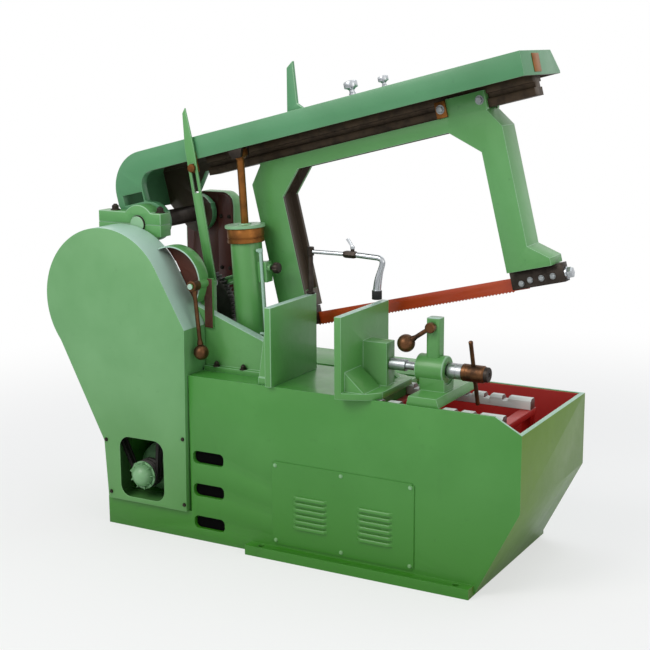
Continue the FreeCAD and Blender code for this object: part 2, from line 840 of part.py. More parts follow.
def make_drive_belts():
    """Two V belts: flat loops that lie in the pulley grooves with a small clearance."""
    belts = doc.addObject("Part::Feature", "drive_belts")
    belts.Label = "drive_belts"
    v = {name: sheet.get(name) for name in sizes}
    edge = (v["pulley_width"] - 2 * v["belt_width"] - (v["belt_pitch"] - v["belt_width"])) / 2
    inner, outer = v["belt_clearance"] - 10, v["belt_clearance"]
    centres = (v["drum_left"], drum_height.value), (v["motor_left"], v["motor_height"])
    solids = []
    for i in range(2):
        middle = v["pulley_front"] + edge + v["belt_width"] / 2 + i * v["belt_pitch"]
        rings = []
        for offset in (inner, outer):
            rings.append(tangent_loop(*centres[0], v["pulley_radius"] + offset, *centres[1],
                                      v["motor_pulley_radius"] + offset))
        face = Part.Face(rings[1]).cut(Part.Face(rings[0]))
        thick = v["belt_width"] - 5.6
        solid = face.extrude(FreeCAD.Vector(0, thick, 0))
        solid.translate(FreeCAD.Vector(0, middle - thick / 2, 0))
        solids.append(solid)
    belts.Shape = Part.makeCompound(solids)
    return seat(belts)


# gears, crank and connecting rod
def crank_centre():
    reach = d.gear_module * (d.gear_teeth + d.pinion_teeth) / 2
    run = math.sqrt(max(reach.value ** 2 - d.gear_drop.value ** 2, 1))
    text = "sqrt(%s * %s - Sizes.gear_drop * Sizes.gear_drop)" % (reach.text, reach.text)
    return d.drum_left + Size(run, text), drum_height - d.gear_drop


def gear_wire(teeth, module, turn):
    """Tooth outline with straight flanks: tip, flank and root from the module."""
    radius = teeth * module / 2
    tip, root = radius + 0.9 * module, radius - 1.2 * module
    pitch = 2 * math.pi / teeth
    points = []
    for i in range(teeth):
        middle = turn + i * pitch
        for share, r in ((-0.31, root), (-0.11, tip), (0.11, tip), (0.31, root)):
            a = middle + share * pitch
            points.append(FreeCAD.Vector(r * math.cos(a), 0, r * math.sin(a)))
    return Part.makePolygon(points + points[:1])


def toothed_disc(teeth, turn):
    v_module, v_width = sheet.get("gear_module"), sheet.get("gear_width")
    face = Part.Face(gear_wire(int(sheet.get(teeth)), v_module, turn))
    return face.extrude(FreeCAD.Vector(0, v_width, 0))


def mesh_lean():
    """Angle of the line from the pinion to the gear."""
    x, z = crank_centre()
    return math.atan2(z.value - drum_height.value, x.value - d.drum_left.value)


def make_crank_gear():
    gear = doc.addObject("Part::Feature", "crank_gear")
    gear.Label = "crank_gear"
    width, shaft = sheet.get("gear_width"), sheet.get("crank_shaft_radius")
    pitch = 2 * math.pi / sheet.get("gear_teeth")
    disc = toothed_disc("gear_teeth", mesh_lean() + math.pi + pitch / 2)
    rim = sheet.get("gear_module") * sheet.get("gear_teeth") / 2 - 14
    forward = FreeCAD.Vector(0, 1, 0)
    recess = Part.makeCylinder(rim, 5, FreeCAD.Vector(0, -1, 0), forward)
    recess = recess.cut(Part.makeCylinder(shaft + 14, 7, FreeCAD.Vector(0, -2, 0), forward))
    back = -(sheet.get("gear_front") - sheet.get("bracket_front")) - 4
    journal = Part.makeCylinder(shaft, -back + 2, FreeCAD.Vector(0, back, 0), forward)
    gear.Shape = disc.cut(recess).fuse(journal).removeSplitter()
    x, z = crank_centre()
    return seat(gear, x, d.gear_front, z)


def make_drive_pinion():
    pinion = doc.addObject("Part::Feature", "drive_pinion")
    pinion.Label = "drive_pinion"
    disc = toothed_disc("pinion_teeth", mesh_lean())
    bore = Part.makeCylinder(sheet.get("countershaft_radius"), 200, FreeCAD.Vector(0, -10, 0), FreeCAD.Vector(0, 1, 0))
    pinion.Shape = disc.cut(bore)
    return seat(pinion, d.drum_left, d.gear_front, drum_height)


def bow_pin_place():
    """Pin of the connecting rod on the raised bow, from the base datum."""
    lean = math.radians(d.arm_raise.value)
    u, w = d.bow_pin_left, d.bow_pin_low
    cosine, sine = Size(math.cos(lean), "cos(Sizes.arm_raise)"), Size(math.sin(lean), "sin(Sizes.arm_raise)")
    return d.pivot_left + u * cosine - w * sine, d.pivot_height + u * sine + w * cosine


def crank_pin_place():
    lean = math.radians(d.crank_angle.value)
    cosine, sine = Size(math.cos(lean), "cos(Sizes.crank_angle)"), Size(math.sin(lean), "sin(Sizes.crank_angle)")
    x, z = crank_centre()
    return x + d.crank_throw * cosine, z + d.crank_throw * sine


def make_connecting_rod():
    body = new_body("connecting_rod")
    start = d.gear_front + d.gear_width + 2 * d.gap
    stop = start + d.rod_thick
    (x1, z1), (x2, z2) = crank_pin_place(), bow_pin_place()
    dx, dz = x2 - x1, z2 - z1
    span = math.hypot(dx.value, dz.value)
    length = Size(span, "sqrt(%s * %s + %s * %s)" % (dx.text, dx.text, dz.text, dz.text))
    half = d.rod_height / 2
    add(body, "front", start, stop, box(0, length, -half, half))
    add(body, "front", start, stop, (0, 0, d.rod_eye), (length, 0, d.rod_eye * 0.85))
    for near in (start, stop - 5):
        cut(body, "front", near, near + 5, box(d.rod_eye + 8, length - d.rod_eye - 8, 6 - half, half - 6))
    cut(body, "front", start, stop, (length, 0, d.bow_pin_radius + d.running_fit))
    cut(body, "front", start, stop, (0, 0, d.crank_pin_radius))
    lean = Size(math.degrees(math.atan2(dz.value, dx.value)), "atan2(%s; %s)" % (dz.text, dx.text))
    return seat(body, x1, 0, z1, lean)


def make_crank_pin():
    body = new_body("crank_pin")
    start = d.gear_front + d.gear_width + d.gap
    stop = start + d.gap + d.rod_thick + 10
    radius = d.crank_pin_radius
    spin(body, "y", [(0, start), (radius, start), (radius, stop - 8), (radius + 7, stop - 8), (radius + 7, stop - 1),
                     (radius + 5, stop), (0, stop)])
    x, z = crank_pin_place()
    return seat(body, x, 0, z)


# arm
def make_arm_beam():
    body = new_body("arm_beam")
    front, back = d.arm_front, d.arm_front + d.arm_width
    left, low, high = d.arm_elbow_left, d.arm_low, d.arm_high
    inner, hub, wall, elbow = d.arm_elbow_inner, d.hub_radius, d.arm_wall, d.arm_elbow_radius
    # side view: both cheeks run down to the pivot
    heel = [(-0.94 * hub, -hub / 3), (0.94 * hub, -hub / 3), (hub, hub / 3)]
    side = [(d.arm_length, low), (d.arm_length, high), (left, high), (left, hub + 6)] + heel
    add(body, "front", front, back, side + [(inner, hub + 6), (inner, low)])
    round_edges(body, elbow, "y", [(left, high)])
    round_edges(body, d.arm_throat_radius, "y", [(inner, low)])
    # open space between the cheeks, with a curved back plate
    turns = [math.radians(angle) for angle in (90, 112, 135, 158, 180)]
    bend = [(left + elbow + (elbow - wall) * math.cos(t), high - elbow + (elbow - wall) * math.sin(t)) for t in turns]
    throat = [(190, low), (190, high - wall)] + bend + [(left + wall, -hub), (190, -hub)]
    near, far = front + d.cheek_width, back - d.cheek_width
    cut(body, "front", near, far - d.arm_chamfer / 2, throat)
    cut(body, "front", far - d.arm_chamfer / 2, far, [(190, low), (left + wall, low), (left + wall, -hub), (190, -hub)])
    # open channel below the rest of the arm
    thick = far - d.arm_chamfer / 2
    channel = [(front + wall, low - 1), (front + wall, high - wall), (thick, high - wall), (far + 6, low + 6),
               (far + 6, low - 1)]
    cut(body, "side", 180, d.arm_length - wall, channel)
    # far cheek hangs lower near the elbow
    skirt = low - d.far_skirt_drop
    lower = [(inner + 1, low + 1), (inner + 1, hub + 6), (d.far_skirt_left, hub + 6), (d.far_skirt_left + 46, skirt),
             (d.far_skirt_end, skirt), (d.far_skirt_end + 90, low + 1)]
    add(body, "front", far, back, lower)
    for start, stop in ((front, near), (far, back)):
        add(body, "front", start, stop, (0, 0, hub))
    # cross ribs that carry the slideway
    for u in (230, 580, 930, d.arm_length - 60):
        add(body, "front", front + wall, back - wall, box(u, as_size(u) + 14, low + 6, high - wall))
    # sloped far top edge
    cut(body, "side", left, d.arm_length, [(back - d.arm_chamfer, high), (back, high), (back, low + 8)])
    # window of the near cheek and bores of the pivot
    cut(body, "front", front, near, box(left + 22, inner - 4, hub + 4, hub + 34))
    cut(body, "front", front, back, (0, 0, d.pivot_radius + d.running_fit))
    return on_arm(body)


def make_slideway():
    body = new_body("slideway")
    low, high = d.slideway_low, d.arm_low + 6
    half = d.slideway_width / 2
    near, far = d.blade_plane - half, d.blade_plane + half
    groove = d.keeper_groove
    section = [(near, low), (far, low), (far, d.keeper_low), (far - groove, d.keeper_low),
               (far - groove, d.keeper_high), (far, d.keeper_high), (far, high), (near, high),
               (near, d.keeper_high), (near + groove, d.keeper_high), (near + groove, d.keeper_low),
               (near, d.keeper_low)]
    add(body, "side", d.slideway_left, d.slideway_right, section)
    return on_arm(body)


def make_horn_plate():
    body = new_body("horn_plate")
    front = d.arm_front + 8
    left, base = d.horn_left, d.arm_high
    add(body, "front", front, front + d.horn_thick,
        [(left, base), (left + d.horn_width + 16, base), (left + d.horn_width, base + 16),
         (left + d.horn_width + d.horn_flare, base + d.horn_height + 14), (left + d.horn_flare * 2, base + d.horn_height)])
    return on_arm(body)


def make_oil_cups():
    body = new_body("oil_cups")
    y, base = d.arm_front + 20, d.arm_high
    for u, scale in ((d.oil_cup_first, 1.0), (d.oil_cup_second, 0.75)):
        radius, height = d.oil_cup_radius * scale, d.oil_cup_height * scale
        add(body, "top", base, base + height * 0.5, (u, y, radius * 0.5))
        add(body, "top", base + height * 0.4, base + height, (u, y, radius))
    return on_arm(body)


def make_arm_plate():
    body = new_body("arm_plate")
    middle_y, middle_w = d.arm_front + d.arm_width * 0.38, (d.arm_low + d.arm_high) / 2
    half = d.plate_size / 2
    add(body, "side", d.arm_length, d.arm_length + 2,
        box(middle_y - half, middle_y + half, middle_w - half, middle_w + half))
    return on_arm(body)


def make_lift_lug():
    """Lug with a pin under the arm, where the lift rod pushes."""
    body = new_body("lift_lug")
    u, w = lift_pin
    top = d.arm_high - d.arm_wall
    width = 24
    rear = d.lift_y + d.lift_rod_radius + 3
    near = d.arm_front + d.arm_wall
    for start, stop, reach in ((d.arm_front + 2, near, d.arm_low), (rear, rear + 10, top)):
        add(body, "front", start, stop, [(u - width, reach), (u + width, reach), (u + 14, w - 14), (u - 14, w - 14)])
    add(body, "front", near, rear + 10, box(u - width, u + width, top - 10, top))
    add(body, "front", d.arm_front + 2, rear + 16, (u, w, d.lift_pin_radius))
    return on_arm(body)


def make_trip_pin():
    body = new_body("trip_pin")
    u, w = trip_pin
    outer = d.trip_front - d.gap
    # clamp block on the near skirt, then the pin through the slotted bar
    add(body, "front", d.trip_front + d.trip_thick + d.gap, d.arm_front, box(u - 15, u + 15, w - 14, d.arm_low + 22))
    add(body, "front", outer - 8, d.arm_front - 1, (u, w, d.trip_pin_radius))
    add(body, "front", outer - 8, outer, (u, w, 2 * d.trip_pin_radius))
    return on_arm(body)


# bow with the blade
def make_bow_frame():
    body = new_body("bow_frame")
    half = d.bow_width / 2
    front, back = d.blade_plane - half, d.blade_plane + half
    top = d.slideway_low - d.slide_clearance
    left, right = d.bow_left, d.bow_right
    outer = [(left, d.bow_foot), (left, 40), (left + 40, 88), (left + 40, top), (d.saddle_right - 6, top),
             (right, 40), (right, d.bow_foot + 60), (d.bow_foot_right, d.bow_foot + 20),
             (d.bow_foot_right, d.bow_foot), (d.bow_right_inner, d.bow_foot), (d.bow_right_inner, -15),
             (d.bow_right_inner - 82, d.bow_low), (d.bow_left_inner + 66, d.bow_low),
             (d.bow_left_inner, -12), (d.bow_left_inner, d.bow_foot)]
    add(body, "front", front, back, outer)
    # channel section: recess round the inside of the frame
    deep = d.bow_recess
    ring = [(d.bow_left_inner - deep, d.bow_foot + 50), (d.bow_left_inner - deep, -4),
            (d.bow_left_inner + 58, d.bow_low + deep), (d.bow_right_inner - 74, d.bow_low + deep),
            (d.bow_right_inner + deep, -6), (d.bow_right_inner + deep, d.bow_foot + 50)]
    cut(body, "front", front + d.bow_flange, back - d.bow_flange, ring)
    # keepers that hang the bow on the slideway: full length behind, at the saddle in front
    clear = d.slide_clearance
    slide_near, slide_far = d.blade_plane - d.slideway_width / 2, d.blade_plane + d.slideway_width / 2
    lip = d.keeper_groove - clear
    for u1, u2 in ((left + 40, d.saddle_right),):
        add(body, "front", slide_far + clear, back, box(u1, u2, top - 4, d.saddle_high))
        add(body, "front", slide_far - lip, slide_far + clear,
            box(u1, u2, d.keeper_low + clear, d.keeper_high - clear))
    add(body, "front", front, slide_near - clear, box(d.saddle_left, d.saddle_right, top - 4, d.saddle_high))
    add(body, "front", slide_near - clear, slide_near + lip,
        box(d.saddle_left, d.saddle_right, d.keeper_low + clear, d.keeper_high - clear))
    # ear for the connecting rod, behind the rod and clear of the crank gear
    start = d.gear_front + d.gear_width + 3 * d.gap + d.rod_thick
    u, w = d.bow_pin_left, d.bow_pin_low
    ear = [(u, w - 22), (left + 2, w - 34), (left + 2, w + 34), (u, w + 22), (u - 18, w + 12), (u - 18, w - 12)]
    add(body, "front", start, start + d.bow_ear_thick, ear)
    cut(body, "front", start, start + d.bow_ear_thick, (u, w, d.bow_pin_radius))
    return on_arm(body)


def make_bow_pin():
    body = new_body("bow_pin")
    start = d.gear_front + d.gear_width + 2 * d.gap
    stop = start + d.rod_thick + d.gap + d.bow_ear_thick
    add(body, "front", start, stop, (d.bow_pin_left, d.bow_pin_low, d.bow_pin_radius))
    add(body, "front", stop, stop + 6, (d.bow_pin_left, d.bow_pin_low, 1.6 * d.bow_pin_radius))
    return on_arm(body)


def make_slide_gib():
    """Bronze gib that leads the saddle along the slideway."""
    body = new_body("slide_gib")
    front = d.blade_plane - d.bow_width / 2
    slide_near = d.blade_plane - d.slideway_width / 2
    low = d.slideway_low
    add(body, "front", front - 7, slide_near - d.slide_clearance,
        box(d.saddle_left - 30, d.saddle_left, low, d.saddle_high - 2))
    return on_arm(body)


def make_saddle_bolts():
    body = new_body("saddle_bolts")
    front = d.blade_plane - d.bow_width / 2
    middle = (d.slideway_low + d.saddle_high) / 2
    for u in (d.saddle_left - 15, d.saddle_right - 16):
        face = front - 7 if u.value < d.saddle_left.value else front
        add(body, "front", face - 9, face, hexagon(u, middle, 19))
    return on_arm(body)


def make_saw_blade():
    body = new_body("saw_blade")
    half = d.blade_thick / 2
    low, high = d.blade_top - d.blade_height, d.blade_top
    pitch, depth = 10, 3.5
    count = int((d.bow_right_inner.value - d.bow_left_inner.value) // pitch)
    start = d.bow_left_inner
    points = [(d.blade_left, high), (d.blade_left, low + depth), (start, low + depth)]
    points += [(start + pitch * count, low + depth), (d.blade_right, low + depth), (d.blade_right, high)]
    add(body, "front", d.blade_plane - half, d.blade_plane + half, points)
    tooth = [(start, low + depth), (start + pitch * 0.35, low), (start + pitch, low + depth)]
    add(body, "front", d.blade_plane - half, d.blade_plane + half, tooth)
    repeat(body, body.Tip, "front", "H_Axis", Size(pitch * (count - 1)), Size(count))
    for u in (d.blade_left + 14, d.blade_right - 14):
        cut(body, "front", d.blade_plane - half, d.blade_plane + half, (u, (low + high) / 2, d.blade_bolt_radius))
    return on_arm(body)


def holder(name, left, right, bolts):
    """Block that grips the blade end between a front and a rear plate."""
    body = new_body(name)
    half, thick = d.blade_thick / 2, d.holder_thick
    top, low = d.bow_foot, d.bow_foot - d.holder_height
    add(body, "front", d.blade_plane - half - thick, d.blade_plane - half, box(left, right, low, top))
    add(body, "front", d.blade_plane - half, d.blade_plane + half, box(left, right, d.blade_top, top))
    add(body, "front", d.blade_plane + half, d.blade_plane + half + thick, box(left, right, low, top))
    for u, radius in bolts:
        cut(body, "front", d.blade_plane - half - thick, d.blade_plane + half + thick,
            (u, d.blade_top - d.blade_height / 2, radius))
    return on_arm(body)


def make_blade_holders():
    right = d.bow_right_inner - 4
    holder("blade_holder_right", right, right + d.holder_right_length, [(d.blade_right - 14, d.blade_bolt_radius)])
    left = d.bow_left_inner + 8
    holder("blade_holder_left", left - d.holder_left_length, left, [(d.blade_left + 14, d.blade_bolt_radius)])


def make_blade_bolts():
    body = new_body("blade_bolts")
    half, thick = d.blade_thick / 2, d.holder_thick
    face = d.blade_plane - half - thick
    level = d.blade_top - d.blade_height / 2
    for u in (d.blade_left + 14, d.blade_right - 14):
        add(body, "front", face, d.blade_plane + half + thick, (u, level, d.blade_bolt_radius))
        add(body, "front", face - 6, face, (u, level, 1.7 * d.blade_bolt_radius))
    right = d.bow_right_inner - 4
    for i in range(1, 4):
        add(body, "front", face - 6, face, (right + 22 + 32 * i, level + 8, 1.4 * d.blade_bolt_radius))
    # tension nut at the far end of the right holder
    end = right + d.holder_right_length
    add(body, "side", end, end + 5, (d.blade_plane, level + 9, 17))
    add(body, "side", end + 5, end + 19, hexagon(d.blade_plane, level + 9, 26))
    return on_arm(body)


# lift cylinder
def make_lift_foot():
    body = new_body("lift_foot")
    deck, height = d.bed_height, d.lift_foot_height
    x, y = d.lift_foot_left, d.lift_y
    add(body, "top", deck, deck + 10, box(x - 48, x + 48, y - 40, y + 40))
    for start in (y - 30, y + 18):
        add(body, "front", start, start + 12, [(x - 26, deck + 10), (x + 26, deck + 10), (x + 15, height + 10),
                                              (x - 15, height + 10)])
    add(body, "front", y - 36, y + 36, (x, height, d.lift_pin_radius))
    return seat(body)


def make_lift_cylinder():
    body = new_body("lift_cylinder")
    radius, low = d.lift_radius, as_size(22)
    top = low + d.lift_length
    bore = d.lift_bore
    spin(body, "z", [(0, low), (radius - 4, low), (radius, low + 4), (radius, top), (bore, top),
                     (bore, low + 90), (0, low + 90)])
    add(body, "front", -17.5, 17.5, [(-15, -14), (15, -14), (20, low + 2), (-20, low + 2)])
    cut(body, "front", -18, 18, (0, 0, d.lift_pin_radius + d.running_fit))
    return on_lift(body)


def make_cylinder_cap():
    body = new_body("cylinder_cap")
    low = 22 + d.lift_length
    radius, flange = d.lift_cap_radius, d.lift_flange_height
    bore = d.lift_rod_radius + d.running_fit
    top = low + d.lift_cap_height
    spin(body, "z", [(bore, low), (radius - 5, low), (radius - 5, top), (radius, top), (radius, top + flange - 2),
                     (radius - 2, top + flange), (bore, top + flange)])
    return on_lift(body)


def make_piston_rod():
    body = new_body("piston_rod")
    top, low = lift_reach, 22 + d.lift_length - 110
    radius, eye = d.lift_rod_radius, d.lift_pin_radius + 10
    spin(body, "z", [(0, low), (radius, low), (radius, top - eye + 4), (0, top - eye + 4)])
    add(body, "front", -radius, radius, (0, top, eye))
    cut(body, "front", -radius - 1, radius + 1, (0, top, d.lift_pin_radius + 3))
    return on_lift(body)


def make_feed_valve():
    body = new_body("feed_valve")
    radius = d.lift_radius
    low = 22 + d.lift_length * 0.62
    add(body, "front", -16, 16, box(radius - 2, radius + 26, low, low + 58))
    add(body, "side", radius + 26, radius + 34, (0, low + 40, 11))
    cut(body, "top", low - 1, low + 70, (0, 0, radius))
    return on_lift(body)


def make_feed_knob():
    body = new_body("feed_knob")
    start = d.lift_radius + 34 + d.gap
    spin(body, "x", [(0, start), (5, start), (5, start + 8), (15, start + 10), (16, start + 14), (16, start + 22),
                     (13, start + 26), (0, start + 26)])
    for i in range(6):
        turn = math.radians(60 * i)
        cut(body, "side", start + 8, start + 27, (18 * math.cos(turn), 18 * math.sin(turn), 4))
    level = 22 + d.lift_length * 0.62 + 40
    return seat(body, d.lift_foot_left - level * sine(lift_tilt), d.lift_y,
                d.lift_foot_height + level * cosine(lift_tilt), lift_tilt)


# trip bar, control lever and hood
def make_trip_bar():
    body = new_body("trip_bar")
    start, stop = d.trip_front, d.trip_front + d.trip_thick
    half, top = d.trip_width / 2, d.trip_length
    near_top = trip_pin_up + 60
    add(body, "front", start, stop,
        [(-half, 0), (half, 0), (half, near_top), (half / 2, top), (-half / 4, top - 14), (-half, near_top)])
    add(body, "front", start, stop, (0, 0, half))
    slot = d.trip_pin_radius + 1.2
    cut(body, "front", start, stop, box(-slot, slot, trip_pin_up - d.trip_slot, trip_pin_up + 12))
    cut(body, "front", start, stop, (0, 0, d.trip_pin_radius + d.running_fit))
    return seat(body, d.trip_left, 0, d.trip_height, trip_tilt)


def make_trip_pivot():
    body = new_body("trip_pivot")
    start, stop = d.trip_front - 24, d.trip_front + d.trip_thick + 8
    radius = d.trip_pin_radius
    spin(body, "y", [(0, start), (radius, start), (radius, stop - 7), (radius + 6, stop - 7), (radius + 6, stop),
                     (0, stop)])
    return seat(body, d.trip_left, 0, d.trip_height)


def make_control_lever():
    """Lever shaft hub, bent rod and ball."""
    body = new_body("control_lever")
    y, length = d.lever_front, d.lever_length
    radius = d.lever_radius
    spin(body, "z", [(0, 0), (radius, 0), (radius, -length), (0, -length)])
    add(body, "front", -15, 17, (0, 0, 15))
    cut(body, "front", -16, 18, (0, 0, 8 + d.running_fit))
    ball = body.newObject("PartDesign::AdditiveSphere", "lever_ball")
    ball.Radius = d.ball_radius.value
    ball.setExpression("Radius", d.ball_radius.text)
    ball.AttachmentOffset = FreeCAD.Placement(FreeCAD.Vector(0, 0, -length.value), FreeCAD.Rotation())
    ball.AttachmentSupport = [(f, "") for f in body.Origin.OriginFeatures if f.Role == "XY_Plane"]
    ball.MapMode = "FlatFace"
    ball.setExpression("AttachmentOffset.Base.z", (-length).text)
    return seat(body, d.lever_left, y, lever_height, d.lever_tilt)


def make_drive_hood():
    """Curved hood beside the belt guard, open to the front, with the lever spindle."""
    body = new_body("drive_hood")
    x, z, radius = d.hood_left, hood_height, d.hood_radius
    front, back, skin = d.hood_front, d.web_front, 4
    low = z - 56
    add(body, "front", front, back, (x, z, radius))
    cut(body, "front", front, back - skin, (x, z, radius - skin))
    cut(body, "front", front, back, box(x - radius - 1, x + radius + 1, z - radius - 1, low))
    # side that stays clear of the belt guard
    cut(body, "front", front, back, (d.drum_left, drum_height, d.drum_radius + 5 * d.gap))
    cut(body, "front", front, back,
        [(d.drum_left, low - 1), (d.guard_right + 5 * d.gap, low - 1), (d.guard_right + 5 * d.gap, drum_height - 60),
         (d.drum_left + 182, drum_height + 116), (d.drum_left, drum_height + 116)])
    # spindle of the control lever, on a strap that is fixed to the web
    add(body, "front", back - 8, back,
        box(d.lever_left - 3, d.lever_left + 24, d.web_right_height + 50, lever_height + 13))
    add(body, "front", d.lever_front + 18, back, (d.lever_left, lever_height, 13))
    add(body, "front", d.lever_front - 20, d.lever_front + 18, (d.lever_left, lever_height, 8))
    return seat(body)


# vise
def make_fixed_jaw():
    body = new_body("fixed_jaw")
    front, back = d.fixed_jaw_front, d.jaw_back
    face, deck = d.fixed_jaw_face, d.bed_height
    plate_back, behind = face - d.jaw_plate, face - d.jaw_plate - d.fixed_jaw_body
    add(body, "front", front, back, box(plate_back, face, deck, d.jaw_top))
    # two ribs and their feet, on both sides of the headstock web
    rear = d.web_back + 18 + d.gap
    add(body, "front", rear, back - 30, box(behind, plate_back, deck, deck + 20))
    add(body, "front", front + 20, d.web_front - 18 - d.gap, box(behind, plate_back, deck, deck + 20))
    rib = [(behind, deck + 20), (plate_back, deck + 20), (plate_back, d.jaw_top - 24), (plate_back - 10, d.jaw_top - 40)]
    for start in (front + 24, rear, back - 46):
        add(body, "front", start, start + 16, rib)
    return seat(body)


def make_moving_jaw():
    body = new_body("moving_jaw")
    front, back = d.jaw_front, d.jaw_back
    face, low = d.moving_jaw_face, d.bed_height + d.gap
    plate_back = face + d.jaw_plate
    add(body, "front", front, back, box(face, plate_back, low, d.jaw_top))
    # foot behind the plate, cut back over the rails
    foot_right = plate_back + d.moving_jaw_foot
    add(body, "top", low, low + 18,
        [(plate_back, front), (foot_right - 30, front + 24), (foot_right, front + 60), (foot_right, back - 40),
         (foot_right - 30, back - 16), (plate_back, back)])
    # boss that takes the screw, with two ribs
    y, z = d.screw_y, screw_height
    add(body, "front", y - d.boss_half, y + d.boss_half,
        box(plate_back, d.screw_left, low + 18, z + d.boss_rise))
    brace = [(plate_back, low + 18), (foot_right - 34, low + 18), (plate_back, low + 70)]
    add(body, "front", front + 20, y - d.boss_half - 12, brace)
    add(body, "front", back - 60, back - 40, brace)
    cut(body, "side", d.screw_left - 36, d.screw_left, (y, z, d.screw_core + d.running_fit))
    return seat(body)


def make_vise_screw():
    """Core of the screw, from its journal in the jaw boss to the collar."""
    body = new_body("vise_screw")
    start, stop = d.screw_left - 36 + d.gap, d.nut_right + 5
    core = d.screw_core
    spin(body, "x", [(0, start), (core - 2, start), (core, start + 2), (core, stop), (0, stop)])
    return seat(body, 0, d.screw_y, screw_height)


def make_screw_sleeve():
    """Plain part of full width between the jaw boss and the nut."""
    body = new_body("screw_sleeve")
    start = d.screw_left + d.gap
    stop, radius = start + 48, d.screw_radius
    spin(body, "x", [(d.screw_core, start), (radius, start), (radius, stop - 3), (radius - 3, stop),
                     (d.screw_core, stop)])
    return seat(body, 0, d.screw_y, screw_height)


def make_screw_collar():
    body = new_body("screw_collar")
    start = d.nut_right + 5
    stop, radius = start + d.collar_length, d.screw_collar_radius
    spin(body, "x", [(0, start), (radius - 1, start), (radius, start + 1), (radius, stop), (0, stop)])
    return seat(body, 0, d.screw_y, screw_height)


def make_screw_hub():
    body = new_body("screw_hub")
    start = d.nut_right + 5 + d.collar_length
    stop, radius = start + d.hub_length, d.screw_hub_radius
    spin(body, "x", [(0, start), (radius, start), (radius, stop - 10), (radius - 3, stop - 10), (radius - 3, stop),
                     (0, stop)])
    lean = math.radians(d.tommy_tilt.value)
    middle = start + d.hub_length * 0.42
    bore = body.newObject("PartDesign::SubtractiveCylinder", "tommy_hole")
    bore.Radius = d.tommy_radius.value + d.running_fit.value
    bore.setExpression("Radius", (d.tommy_radius + d.running_fit).text)
    bore.Height = 4 * radius.value
    bore.setExpression("Height", (4 * radius).text)
    turn = FreeCAD.Rotation(FreeCAD.Vector(1, 0, 0), math.degrees(lean))
    bottom = turn.multVec(FreeCAD.Vector(0, 0, -2 * radius.value)) + FreeCAD.Vector(middle.value, 0, 0)
    bore.AttachmentSupport = [(f, "") for f in body.Origin.OriginFeatures if f.Role == "XY_Plane"]
    bore.MapMode = "FlatFace"
    bore.AttachmentOffset = FreeCAD.Placement(bottom, turn)
    return seat(body, 0, d.screw_y, screw_height)


def make_tommy_bar():
    body = new_body("tommy_bar")
    half, radius = d.tommy_length / 2, d.tommy_radius
    spin(body, "z", [(0, -half), (radius - 1, -half), (radius, 1 - half), (radius, half - 1), (radius - 1, half),
                     (0, half)])
    start = d.nut_right + 5 + d.collar_length
    x, y, z = start + d.hub_length * 0.42 - datum_x, d.screw_y - datum_y, screw_height
    turn = FreeCAD.Rotation(FreeCAD.Vector(1, 0, 0), d.tommy_tilt.value)
    body.Placement = FreeCAD.Placement(FreeCAD.Vector(x.value, y.value, z.value), turn)
    for axis, place in zip("xyz", (x, y, z)):
        body.setExpression("Placement.Base." + axis, place.text)
    return body


def make_nut_bracket():
    """Leg with a bridge that rides the toothed rails and a cradle for the nut barrel."""
    body = new_body("nut_bracket")
    y, z = d.screw_y, screw_height
    left, right = d.nut_left, d.nut_right
    base = d.rack_top + d.gap
    add(body, "side", left + 14, right + 4,
        [(y - 30, base + 24), (y + 30, base + 24), (y + 34, z), (y - 34, z)])
    # bridge across both rails
    add(body, "front", d.rack_front_y - d.rack_width / 2 - 3, d.rack_rear_y + d.rack_width / 2 + 5,
        [(left + 10, base), (right + 22, base), (right + 14, base + 24), (left + 16, base + 24)])
    cut(body, "side", left, right + 6, (y, z, d.nut_radius + d.running_fit))
    return seat(body)


def make_nut_barrel():
    body = new_body("nut_barrel")
    left, right, radius = d.nut_left, d.nut_right, d.nut_radius
    bore = d.screw_radius + d.running_fit
    spin(body, "x", [(bore, left), (radius - 2, left), (radius, left + 2), (radius, right - 2), (radius - 2, right),
                     (bore, right)])
    return seat(body, 0, d.screw_y, screw_height)


def make_latch_post():
    """Square post that stands on the nut barrel and carries the latch."""
    body = new_body("latch_post")
    y, z = d.screw_y, screw_height
    post = d.post_size / 2
    middle = (d.nut_left + d.nut_right) / 2 + 4
    add(body, "top", z + d.nut_radius / 2, d.post_top, box(middle - post, middle + post, y - post, y + post))
    round_edges(body, 8, "z", [(middle - post, y - post), (middle + post, y - post), (middle - post, y + post),
                               (middle + post, y + post)])
    cut(body, "side", middle - post, middle + post, (y, z, d.nut_radius + d.running_fit))
    cut(body, "front", y - post, y + post, (middle, d.post_top - 22, 9 + d.running_fit))
    return seat(body)


